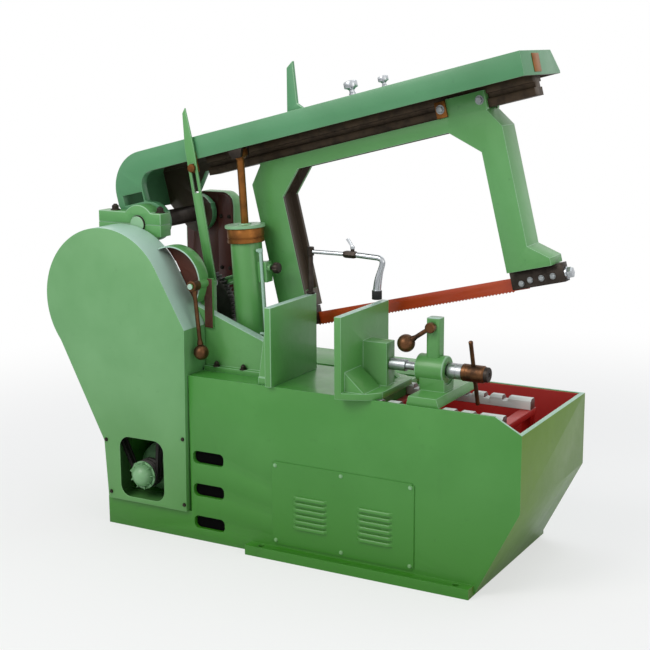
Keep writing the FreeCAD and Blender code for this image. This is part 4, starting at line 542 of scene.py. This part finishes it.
# base cabinet
cabinet = {"round": 3, "rimLevel": 440, "rimLeft": 560, "slopeLeft": 1150}
softEdges("base_cabinet", cabinet["round"], "cabinetGreen", "edgeHighlightGreen", zones=[
    # the rim tops get the paler green as painted highlight
    ("paleGreen", lambda x, y, z, n: n.z > 0.55 and z > cabinet["rimLevel"] and x > cabinet["rimLeft"]),
    # the right end face gets the olive as painted shade
    ("endShadeOlive", lambda x, y, z, n: n.x > 0.5 and x > cabinet["slopeLeft"])])
softEdges("chip_tray", 1.0, "trayRed", "trayRed")
vents = {"levels": (55, 152, 249), "left": 311, "right": 409, "half": 16, "corner": 14,
         "insetX": 15, "insetZ": 13, "front": 10, "back": 12, "steps": 28}
bm = bmesh.new()
for level in vents["levels"]:  # black plug inside each vent, painted shade for the vent's depth
    reach = (vents["right"] - vents["left"]) / 2 - vents["insetX"]
    rise = vents["half"] - vents["insetZ"]
    corners = []
    for i in range(vents["steps"]):
        across = math.cos(2 * math.pi * i / vents["steps"])
        upward = math.sin(2 * math.pi * i / vents["steps"])
        x = (vents["left"] + vents["right"]) / 2 + math.copysign(reach, across) + vents["corner"] * across
        z = level + math.copysign(rise, upward) + vents["corner"] * upward
        corners.append((x, z))
    near = [bm.verts.new(at(x, vents["front"], z)) for x, z in corners]
    far = [bm.verts.new(at(x, vents["back"], z)) for x, z in corners]
    bm.faces.new(near)
    bm.faces.new(far[::-1])
    for i in range(vents["steps"]):
        j = (i + 1) % vents["steps"]
        bm.faces.new((near[i], far[i], far[j], near[j]))
addPiece("ventShadePlug", bm, "ventBlack", "base")
print("cabinet done")

# service panel with pressed louvres
panel = {"left": 572, "right": 1008, "low": 36, "high": 277, "sheet": 3, "louvreLow": 92, "pitch": 17,
         "count": 6, "firsts": (640, 838), "length": 108, "reach": 6.5, "rise": 10, "corner": 6,
         "edge": 1.2, "screwsAcross": (584, 790, 996), "screwsUp": (48, 265)}


def louvreTree():
    # pressed louvres in a vertical row: each a quarter round hood that dies out at its ends
    tree, wire, sockets, start = newTree("louvreRow", [
        ("Count", "NodeSocketInt", 6), ("Pitch", "NodeSocketFloat", 0.017),
        ("Length", "NodeSocketFloat", 0.108),
        ("Reach", "NodeSocketFloat", 0.006), ("Rise", "NodeSocketFloat", 0.01),
        ("Place", "NodeSocketVector", (0, 0, 0)), ("Finish", "NodeSocketMaterial", None)])
    sheet = start.node("GeometryNodeMeshGrid", None, {
        "Size X": wire["Length"], "Size Y": 1.0, "Vertices X": 25, "Vertices Y": 9})
    spot = start.node("GeometryNodeInputPosition")
    across = spot.node("ShaderNodeSeparateXYZ", None, {0: spot})
    turn = (spot.node("ShaderNodeSeparateXYZ", None, {0: spot}, 1) + 0.5) * (math.pi / 2)
    toEnd = (0.5 - across.math("ABSOLUTE", across, 0.0) / wire["Length"]).clamp(0.0, 0.09)
    out = 0.0 - wire["Reach"] * turn.math("COSINE", turn, 0.0) * toEnd
    rise = wire["Rise"] * turn.math("SINE", turn, 0.0)
    bent = start.node("ShaderNodeCombineXYZ", None, {"X": across, "Y": out, "Z": rise})
    hood = start.node("GeometryNodeSetPosition", None, {"Geometry": sheet, "Position": bent})
    line = start.node("GeometryNodeMeshLine", None, {
        "Count": wire["Count"], "Start Location": wire["Place"],
        "Offset": start.node("ShaderNodeCombineXYZ", None, {"Z": wire["Pitch"]})})
    placed = start.node("GeometryNodeInstanceOnPoints", None, {"Points": line, "Instance": hood})
    closeTree(tree, placed, wire["Finish"])
    return tree, sockets


bm = bmesh.new()
bmesh.ops.create_cube(bm, size=1.0)
middle = at((panel["left"] + panel["right"]) / 2, -panel["sheet"] / 2, (panel["low"] + panel["high"]) / 2)
spread = Vector((panel["right"] - panel["left"], panel["sheet"], panel["high"] - panel["low"])) / 1000
bmesh.ops.transform(bm, verts=bm.verts,
                    matrix=Matrix.Translation(middle) @ Matrix.Diagonal(spread).to_4x4())
corners = [e for e in bm.edges if abs((e.verts[0].co - e.verts[1].co).normalized().y) > 0.9]
bmesh.ops.bevel(bm, geom=corners, offset=panel["corner"] / 1000, segments=5, affect="EDGES")
rims = [e for e in bm.edges if all(v.co.y < at(0, -panel["sheet"] + 0.1, 0).y for v in e.verts)]
bmesh.ops.bevel(bm, geom=rims, offset=panel["edge"] / 1000, segments=2, affect="EDGES")
addPiece("panelSheet", bm, "cabinetGreen", "base", ["service_panel"])
louvres, louvreSockets = louvreTree()
for i, first in enumerate(panel["firsts"]):
    row = runTree("louvres%d" % (i + 1), louvres, louvreSockets, {
        "Count": panel["count"], "Pitch": panel["pitch"] / 1000, "Length": panel["length"] / 1000,
        "Reach": panel["reach"] / 1000, "Rise": panel["rise"] / 1000,
        "Place": tuple(at(first + panel["length"] / 2, -panel["sheet"] + 0.3, panel["louvreLow"])),
        "Finish": finishes["cabinetGreen"]}, "base")
    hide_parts("service_panel")
screwHeads("panelScrews", [
    at(x, -panel["sheet"], z) for x in panel["screwsAcross"] for z in panel["screwsUp"]], front,
           {"across": 9, "height": 3, "sides": 20, "washer": 1, "finish": "edgeHighlightGreen"}, "base")
print("service panel done")

# belt guard
guard = {"round": 5, "front": -14, "centreX": 21, "centreZ": 678, "bandRadius": 200, "bandLow": 470,
         "screws": ((22, 104), (284, 104), (284, 300), (10, 262))}
softEdges("belt_guard", guard["round"], "guardGreen", "edgeHighlightGreen", 3, zones=[
    # the band round the drum's rim gets the paler green as painted highlight
    ("paleGreen", lambda x, y, z, n: abs(n.y) < 0.75 and z > guard["bandLow"] and n.x * 0.7 + n.z > -0.1
     and math.hypot(x - guard["centreX"], z - guard["centreZ"]) > guard["bandRadius"])])
softEdges("guard_backplate", 0.8, "guardGreen")
screwHeads("guardScrews", [at(x, guard["front"], z) for x, z in guard["screws"]], front,
           {"across": 9, "height": 4, "washer": 1.5, "finish": "darkSteel"}, "base")
print("guard done")

# motor, pulley and belts behind the window
softEdges("motor", 1.5, "motorGreen")
pulley = {"x": 118, "front": 18, "z": 160, "blades": 9, "bladeRoot": 26, "bladeTip": 41.5, "dome": 34,
          "bladeSection": ((-2, 2), (1, 2), (5, 13), (3.5, 13))}
nose = at(pulley["x"], pulley["front"], pulley["z"])
bm = bmesh.new()
turned(bm, nose, -front, [
    (10, 0), (26, 1), (30, 5), (33, 5), (41, 6), (42, 7), (42, 8), (36, 10), (36, 15), (42, 17), (42, 21),
    (36, 23), (36, 30), (42, 33), (42, 42), (40, 44), (13, 44), (12, 46), (12, 234), (11, 234.5)], 56)
turned(bm, nose, front, [(42, 0), (42, 3), (36, 3.5)] + arcProfile(0, pulley["dome"], 80, 178, 12),
       48, mark=1)
for i in range(pulley["blades"]):  # cooling blades round the domed hub
    turn = 2 * math.pi * i / pulley["blades"]
    reach = Vector((math.cos(turn), 0, math.sin(turn)))
    lean = Vector((-math.sin(turn), 0, math.cos(turn)))
    rows = []
    for radius in (pulley["bladeRoot"], pulley["bladeTip"]):
        foot = nose + reach * radius / 1000
        rows.append([bm.verts.new(foot + lean * side / 1000 + front * depth / 1000)
                     for side, depth in pulley["bladeSection"]])
    sides = [(rows[0][k], rows[0][(k + 1) % 4], rows[1][(k + 1) % 4], rows[1][k]) for k in range(4)]
    for face in sides + [rows[0][::-1], rows[1]]:
        bm.faces.new(face).material_index = 1
addPiece("motorPulleyTurned", bm, ["castIron", "motorGreen"], "motor_rotor", ["motor_pulley"])
softEdges("drive_belts", 0.8, "beltRubber")
softEdges("belt_pulley", 0.8, "castIron")
softEdges("countershaft", 0.8, "groundSteel")
softEdges("drive_pinion", 0.4, "groundSteel")
softEdges("crank_gear", 0.4, "castIron")
print("drive done")

# bearings and columns
softEdges("headstock", 2.5, "castGreen", "edgeHighlightGreen", zones=[
    # its top faces get the paler green as painted highlight
    ("paleGreen", lambda x, y, z, n: n.z > 0.5 and x > 250 and 90 < y < 130 and z > 555)])
softEdges("front_bearing_cap", 3, "castGreen", "edgeHighlightGreen")
softEdges("rear_column", 3, "castGreen", "edgeHighlightGreen", zones=[
    ("coverMaroon", lambda x, y, z, n: n.y < -0.8 and 10 < x < 175 and z > 500)])
softEdges("gear_cover", 1.2, "coverMaroon", "coverMaroon")
softEdges("pivot_shaft", 0.8, "darkSteel", zones=[
    ("edgeHighlightGreen", lambda x, y, z, n: n.y < -0.8 and y < 110)])
softEdges("gear_bracket", 2, "castGreen", "edgeHighlightGreen")
hood = {"x": 212, "z": 742, "front": 50}
softEdges("drive_hood", 1.6, "castGreen", "edgeHighlightGreen", zones=[
    ("maroonAndShade", lambda x, y, z, n: (n.x * (hood["x"] - x) + n.z * (hood["z"] - z) > 20 and z > 640)
     or (n.y < -0.8 and y > hood["front"] + 4)),
    # the hood's front rim gets the paler green as painted highlight
    ("paleGreen", lambda x, y, z, n: n.y < -0.8 and y < hood["front"] + 2 and z > 700)])
screwHeads("capBolts", [at(x, 125, 924) for x in (-33.5, 128.5)], up,
           {"across": 22, "height": 12, "washer": 3, "stud": 3, "finish": "darkSteel"}, "base",
           ["cap_bolts"])
screwHeads("webBolts", [at(x, 84, 500) for x in (340, 430, 520)], up,
           {"across": 16, "height": 9, "washer": 2.5, "stud": 3, "finish": "darkSteel"}, "base")
screwHeads("coverScrews", [at(x, 432, z) for x in (136, 165) for z in (560, 720, 880)], front,
           {"across": 10, "height": 4, "sides": 20, "washer": 1, "finish": "darkSteel"}, "base")
print("bearings done")

# arm
armInside = {"front": 178, "back": 412, "wall": 32, "end": 1210}
softEdges("arm_beam", 2.5, "armCoolLitGreen", "edgeHighlightGreen", zones=[
    # underside and inner faces: painted shade with brown oil and rust
    ("oilAndShadeBrown", lambda x, y, z, n: armInside["front"] < y < armInside["back"] and (
        n.z < -0.4 and x < armInside["end"] or y < 200 and n.y > 0.6
        or y > armInside["back"] - armInside["wall"] and n.y < -0.6))])
softEdges("slideway", 0.8, "oilyBrown")
softEdges("horn_plate", 1.4, "armCoolLitGreen", "edgeHighlightGreen")
softEdges("lift_lug", 1.5, "darkSteel")
softEdges("trip_pin", 1.2, "turnedBronze")
softEdges("arm_plate", 0.6, "turnedBronze")
cups = {"places": ((734, 1.0), (832, 0.75)), "radius": 19, "height": 40, "y": 183, "seat": 208}
bm = bmesh.new()
for u, size in cups["places"]:
    r, h = cups["radius"] * size, cups["height"] * size
    turned(bm, onArm(u, cups["y"], cups["seat"]), armUp, [
        (0.42 * r, 0), (0.5 * r, 0), (0.5 * r, 0.14 * h), (0.40 * r, 0.18 * h), (0.40 * r, 0.34 * h),
        (0.62 * r, 0.44 * h), (0.96 * r, 0.50 * h), (r, 0.54 * h), (r, 0.86 * h), (0.94 * r, 0.92 * h),
        (0.6 * r, 0.97 * h), (0.2 * r, h)], 40)
addPiece("oilCupsTurned", bm, "platedSteel", "arm", ["oil_cups"])
print("arm done")

# bow and blade
bow = {"recessFront": 261, "recessBack": 329, "recessLow": 560, "middle": 700}
softEdges("bow_frame", 2.5, "castGreen", "edgeHighlightGreen", zones=[
    # faces in the recess: painted shade
    ("oilAndShadeBrown", lambda x, y, z, n: bow["recessFront"] < y < bow["recessBack"] and (
        abs(n.y) > 0.6 or n.z < -0.3 or (n.x > 0.3 if x < bow["middle"] else n.x < -0.3))
     and z > bow["recessLow"])])
softEdges("bow_pin", 0.8, "groundSteel")
softEdges("slide_gib", 1.0, "turnedBronze")
softEdges("connecting_rod", 2.0, "castGreen", "edgeHighlightGreen")
softEdges("crank_pin", 0.8, "groundSteel")
softEdges("blade_holder_right", 1.5, "darkSteel")
softEdges("blade_holder_left", 1.5, "darkSteel")
softEdges("saw_blade", 0.15, "bladeOrange")
screwHeads("saddleBolts", [onArm(u, y, 118) for u, y in ((947, 244.5), (1058, 251.5))], front,
           {"across": 19, "height": 7, "washer": 2, "finish": "groundSteel"}, "bow", ["saddle_bolts"])
blade = {"boltFront": 278, "boltLevel": -378, "plane": 295, "nutLevel": -369, "nutSeat": 1180,
         "bolts": ((386, 2), (1058, 2), (1084, 8), (1116, 8), (1148, 8))}
screwHeads("bladeBolts", [
    onArm(u, blade["boltFront"], blade["boltLevel"] + lift) for u, lift in blade["bolts"]], front,
           {"across": 13, "height": 5, "washer": 1.2, "sides": 24, "finish": "groundSteel"}, "bow",
           ["blade_bolts"])
bm = bmesh.new()
turned(bm, onArm(blade["nutSeat"], blade["plane"], blade["nutLevel"]), armAlong,
       [(16, 0), (17, 1), (17, 5), (15, 5.5)], 36)
turned(bm, onArm(blade["nutSeat"] + 5.5, blade["plane"], blade["nutLevel"]), armAlong,
       [(14.6, 0), (15, 0.5), (15, 11), (13, 13.4)], 6)
addPiece("tensionNut", bm, "platedSteel", "bow")
print("bow done")

# lift cylinder
lift = {"x": 400, "y": 190, "z": 526, "lean": 3.6}
liftAxis = Vector((-math.sin(math.radians(lift["lean"])), 0, math.cos(math.radians(lift["lean"]))))
liftFoot = at(lift["x"], lift["y"], lift["z"])
softEdges("lift_foot", 1.5, "castGreen", "edgeHighlightGreen")
softEdges("lift_cylinder", 1.5, "castGreen", "edgeHighlightGreen")
softEdges("piston_rod", 0.8, "turnedBronze")
softEdges("feed_valve", 1.5, "castGreen", "edgeHighlightGreen")
softEdges("feed_knob", 1.2, "darkSteel")
bm = bmesh.new()
turned(bm, liftFoot, liftAxis, [
    (44, 322), (52, 322), (53, 323), (53, 334), (51.5, 335), (51.5, 337), (53, 338), (53, 362), (52, 363.5),
    (20, 364)], 64)
turned(bm, liftFoot, liftAxis, [
    (50, 364), (57, 364), (58, 365), (58, 372), (57, 373), (19, 373), (18, 376), (12, 376)], 64, mark=1)
addPiece("cylinderCapTurned", bm, ["turnedBronze", "edgeHighlightGreen"], "cylinder", ["cylinder_cap"])
oilPipe = {"high": 300, "low": 60, "out": 58, "rootHigh": 46, "rootLow": 40, "forward": 20, "radius": 4.5,
           "bend": 9, "nuts": (294, 54)}
side = Vector((liftAxis.z, 0, -liftAxis.x))


def besideLift(level, out):  # a point beside the cylinder, level up it and out to the right
    return liftFoot + (liftAxis * level + side * out + front * oilPipe["forward"]) / 1000


bm = bmesh.new()
tubeAlong(bm, smoothPath([
    besideLift(oilPipe["high"], oilPipe["rootHigh"]), besideLift(oilPipe["high"], oilPipe["out"]),
    besideLift(oilPipe["low"], oilPipe["out"]), besideLift(oilPipe["low"], oilPipe["rootLow"])],
    oilPipe["bend"], 5), oilPipe["radius"], 16)
for level in oilPipe["nuts"]:
    turned(bm, besideLift(level, oilPipe["out"]), liftAxis, [(5, 0), (7.5, 1), (7.5, 11), (5, 12)], 6)
# the oil pipe takes the paler green all over
addPiece("oilPipe", bm, "paleGreen", "cylinder")
print("lift done")

# trip bar, control lever
softEdges("trip_bar", 0.8, "castGreen", "edgeHighlightGreen")
softEdges("trip_pivot", 0.8, "groundSteel")
lever = {"x": 305, "z": 739, "y": 30, "length": 190, "tilt": 6, "ball": 22}
down = Vector((math.sin(math.radians(lever["tilt"])), 0, -math.cos(math.radians(lever["tilt"]))))
top = at(lever["x"], lever["y"], lever["z"])
bm = bmesh.new()
turned(bm, top, down, [(6, 12), (6, 150), (7.5, 158), (9, 164), (9, 168)], 24)
turned(bm, top, down, arcProfile(lever["length"], lever["ball"], 6, 179, 20), 40)
turned(bm, top + front * 0.015, -front, [
    (8.05, 0), (13, 0), (15, 2), (15, 30), (13, 32), (8.05, 32)], 40)
addPiece("controlLeverTurned", bm, "darkBronze", "lever", ["control_lever"])
print("levers done")

# vise
# the tops of the jaws get the paler green as painted highlight
for node in ("fixed_jaw", "moving_jaw"):
    softEdges(node, 2.5, "castGreen", "edgeHighlightGreen", zones=[("paleGreen", litTopFaces(690))])
softEdges("nut_bracket", 2.5, "castGreen", "edgeHighlightGreen")
softEdges("nut_barrel", 2.0, "castGreen", "edgeHighlightGreen")
# so does the top of the latch post
softEdges("latch_post", 2.0, "castGreen", "edgeHighlightGreen", zones=[("paleGreen", litTopFaces(690))])
# dark maroon on the rack's lower part and tooth sides is painted shade; the rest above is white
softEdges("rack_rails", 1.0, "maroonAndShade", "maroonAndShade", zones=[
    ("rackWhite", lambda x, y, z, n: z > 470 and n.x ** 2 < 0.8)])
softEdges("rack_support", 1.5, "trayRed")
vise = {"start": 845, "hub": 1092, "hubLength": 72, "capLength": 10, "y": 113, "z": 562,
        "tommyTilt": 17, "tommyShare": 0.42}
bm = bmesh.new()
turned(bm, at(vise["start"], vise["y"], vise["z"]), right, [
    (10, 0), (10.9, 1), (10.9, 35.4), (15, 35.4), (16, 36.4), (16, 82.4), (15, 83.4), (10.9, 83.4),
    (10.9, 207), (20, 207), (21, 208.5), (21, 228), (19.8, 229), (19.8, 231), (21, 232),
    (21, 246), (15, 247)], 48)
addPiece("viseScrewTurned", bm, "groundSteel", "screw", ["vise_screw", "screw_sleeve", "screw_collar"])
bm = bmesh.new()
turned(bm, at(vise["hub"], vise["y"], vise["z"]), right, [
    (16, 0), (22, 0), (23, 1.2), (23, 10), (22, 11), (22, 12), (23, 13), (23, 58), (22, 59), (21.4, 60.5),
    (20, 62)], 56)
turned(bm, at(vise["hub"] + vise["hubLength"] - vise["capLength"], vise["y"], vise["z"]), right,
       [(20, 0), (20, 8), (18.5, 10), (6, 10), (5, 8)], 56, mark=1)
addPiece("screwHubTurned", bm, ["darkBronze", "darkSteel"], "screw", ["screw_hub"])
bm = bmesh.new()
tilt = math.radians(vise["tommyTilt"])
tommyAxis = Vector((0, -math.sin(tilt), math.cos(tilt)))
tommyMid = at(vise["hub"] + vise["hubLength"] * vise["tommyShare"], vise["y"], vise["z"])
turned(bm, tommyMid, tommyAxis, [
    (4.4, -95), (6, -93.4), (6, -87), (5.6, -86), (5.6, 86), (6, 87), (6, 93.4), (4.4, 95)], 28)
addPiece("tommyBarTurned", bm, "darkBronze", "tommy", ["tommy_bar"])
latch = {"x": 1010.5, "z": 678, "y": 82, "reach": 70, "drop": 48, "ball": 24}
hub = at(latch["x"], latch["y"], latch["z"])
away = Vector((-latch["reach"], 0, -latch["drop"])).normalized()
length = math.hypot(latch["reach"], latch["drop"])
bm = bmesh.new()
turned(bm, hub, away, [(6, 4), (6, length - 34), (8, length - 26), (8, length - 20)], 24)
turned(bm, hub, away, arcProfile(length, latch["ball"], 6, 179, 20), 40)
turned(bm, hub + front * 0.008, -front, [
    (6, 0), (12, 0), (14, 2), (14, 14), (12, 16), (9, 16), (9, 56), (8, 58)], 36)
addPiece("latchLeverTurned", bm, "darkBronze", "latch", ["latch_lever"])
print("vise done")

# coolant line
coolant = {"x": 570, "y": 228, "z": 828, "pipe": 6, "tap": 0.106, "stem": 0.134, "bend": 22,
           "elbow": ((0.148, 0), (0.232, -0.004), (0.214, -0.060), (0.210, -0.096)),
           "radii": [8.0] * 10 + [8.5, 9, 9.5, 10, 10.4, 10.7, 11, 11.2, 11.4, 11.4],
           "ferrule": (0.2105, 0, -0.0915)}
softEdges("coolant_post", 0.8, "darkSteel")
bm = bmesh.new()
head = at(coolant["x"], coolant["y"], coolant["z"])
turned(bm, head - up * 0.0116, up, [(9, 0), (10, 1), (10, 24), (8, 25)], 32, mark=1)
tubeAlong(bm, [head + right * 0.004, head + right * 0.11], coolant["pipe"], 24)
turned(bm, head + right * coolant["tap"], right, [
    (7, 0), (9, 1), (10.5, 6), (11, 10), (11, 34), (10, 38), (8, 42), (8, 44)], 6, 0.3, 1)
turned(bm, head + right * coolant["stem"] + up * 0.004, up, [(5.5, 0), (5.5, 12), (4.5, 12.4)], 24, mark=1)
path = smoothPath([head + Vector((x, 0, z)) for x, z in coolant["elbow"]], coolant["bend"], 8)
tubeAlong(bm, path, coolant["radii"], 28)
turned(bm, head + Vector(coolant["ferrule"]), Vector((-0.05, 0, -1)),
       [(10, 0), (13, 1), (13, 8), (12, 9)], 32)
addPiece("coolantPipeBent", bm, ["platedSteel", "darkSteel"], "coolant_arm", ["coolant_pipe"])
softEdges("nozzle_tip", 1.0, "tipRubber")
softEdges("tap_lever", 0.6, "platedSteel")
print("coolant done")

# floor, light and camera
stage = {"floorReach": 30.0, "fadeStart": 1.4, "fadeEnd": 3.2, "glowNear": 0.6, "white": 1.0,
         "floorGrey": 0.86, "ambient": 0.44}
bm = bmesh.new()
bmesh.ops.create_grid(bm, x_segments=2, y_segments=2, size=stage["floorReach"])
mesh = bpy.data.meshes.new("floor")
bm.to_mesh(mesh)
bm.free()
floor = bpy.data.objects.new("floor", mesh)
scene.collection.objects.link(floor)
material, shader, place = newMaterial("paleFloor")
distance = place.node("ShaderNodeVectorMath", {"operation": "LENGTH"}, {0: place}, "Value")
feed(shader, "Base Color", (stage["floorGrey"], stage["floorGrey"], stage["floorGrey"], 1))
feed(shader, "Roughness", 0.85)
glow = place.node("ShaderNodeEmission", None, {"Color": (1, 1, 1, 1), "Strength": stage["white"]})
rays = place.node("ShaderNodeLightPath", out="Is Camera Ray")
away = distance.clamp(stage["fadeStart"], stage["fadeEnd"]) * (1 - stage["glowNear"]) + stage["glowNear"]
blend = place.node("ShaderNodeMixShader", None, {
    0: rays * away, 1: Wire(material.node_tree, shader.outputs[0]), 2: glow})
tree = material.node_tree
tree.links.new(blend.socket, tree.nodes["Material Output"].inputs[0])
mesh.materials.append(material)

world = bpy.data.worlds.new("studio")
world.use_nodes = True
scene.world = world
tree = world.node_tree
wire = Wire(tree, None)
seen = 0.0
for ray in ("Is Camera Ray", "Is Glossy Ray", "Is Transmission Ray"):
    seen = seen + wire.node("ShaderNodeLightPath", out=ray)
sky = wire.node("ShaderNodeBackground", None, {"Color": (1, 1, 1, 1), "Strength": 1.0})
ambient = wire.node("ShaderNodeBackground", None, {
    "Color": (0.94, 0.97, 1, 1), "Strength": stage["ambient"]})
shown = wire.node("ShaderNodeMixShader", None, {0: seen.clamp(0.0, 1.0), 1: ambient, 2: sky})
tree.links.new(shown.socket, tree.nodes["World Output"].inputs[0])

lamps = {
    "keyLamp": {"place": (-1.4, -3.2, 3.4), "energy": 80, "size": 2.2, "colour": (1.0, 0.99, 0.96)},
    "sideLamp": {"place": (3.4, -1.0, 2.0), "energy": 22, "size": 2.4, "colour": (1.0, 0.97, 0.90)},
    "topLamp": {"place": (0.4, 1.0, 3.8), "energy": 40, "size": 2.6, "colour": (0.92, 0.97, 1.0)},
}
for name, lamp in lamps.items():
    light = bpy.data.lights.new(name, "AREA")
    light.energy = lamp["energy"]
    light.size = lamp["size"]
    light.color = lamp["colour"]
    holder = bpy.data.objects.new(name, light)
    holder.location = lamp["place"]
    holder.rotation_euler = (Vector((0, 0, 0.6)) - holder.location).to_track_quat("-Z", "Y").to_euler()
    scene.collection.objects.link(holder)

view = {"place": (1.6212, -3.3315, 1.4131), "azimuth": 29.1, "elevation": 11.8, "roll": -0.3,
        "lens": 75.7}
camera = bpy.data.objects.new("camera", bpy.data.cameras.new("camera"))
camera.data.lens = view["lens"]
camera.data.sensor_width = 36
camera.location = view["place"]
aim = Matrix.Rotation(math.radians(view["azimuth"]), 3, "Z") @ Matrix.Rotation(
    math.radians(90 - view["elevation"]), 3, "X") @ Matrix.Rotation(math.radians(view["roll"]), 3, "Z")
camera.rotation_euler = aim.to_euler()
scene.collection.objects.link(camera)
scene.camera = camera
scene.view_settings.view_transform = "Standard"
print("stage done")
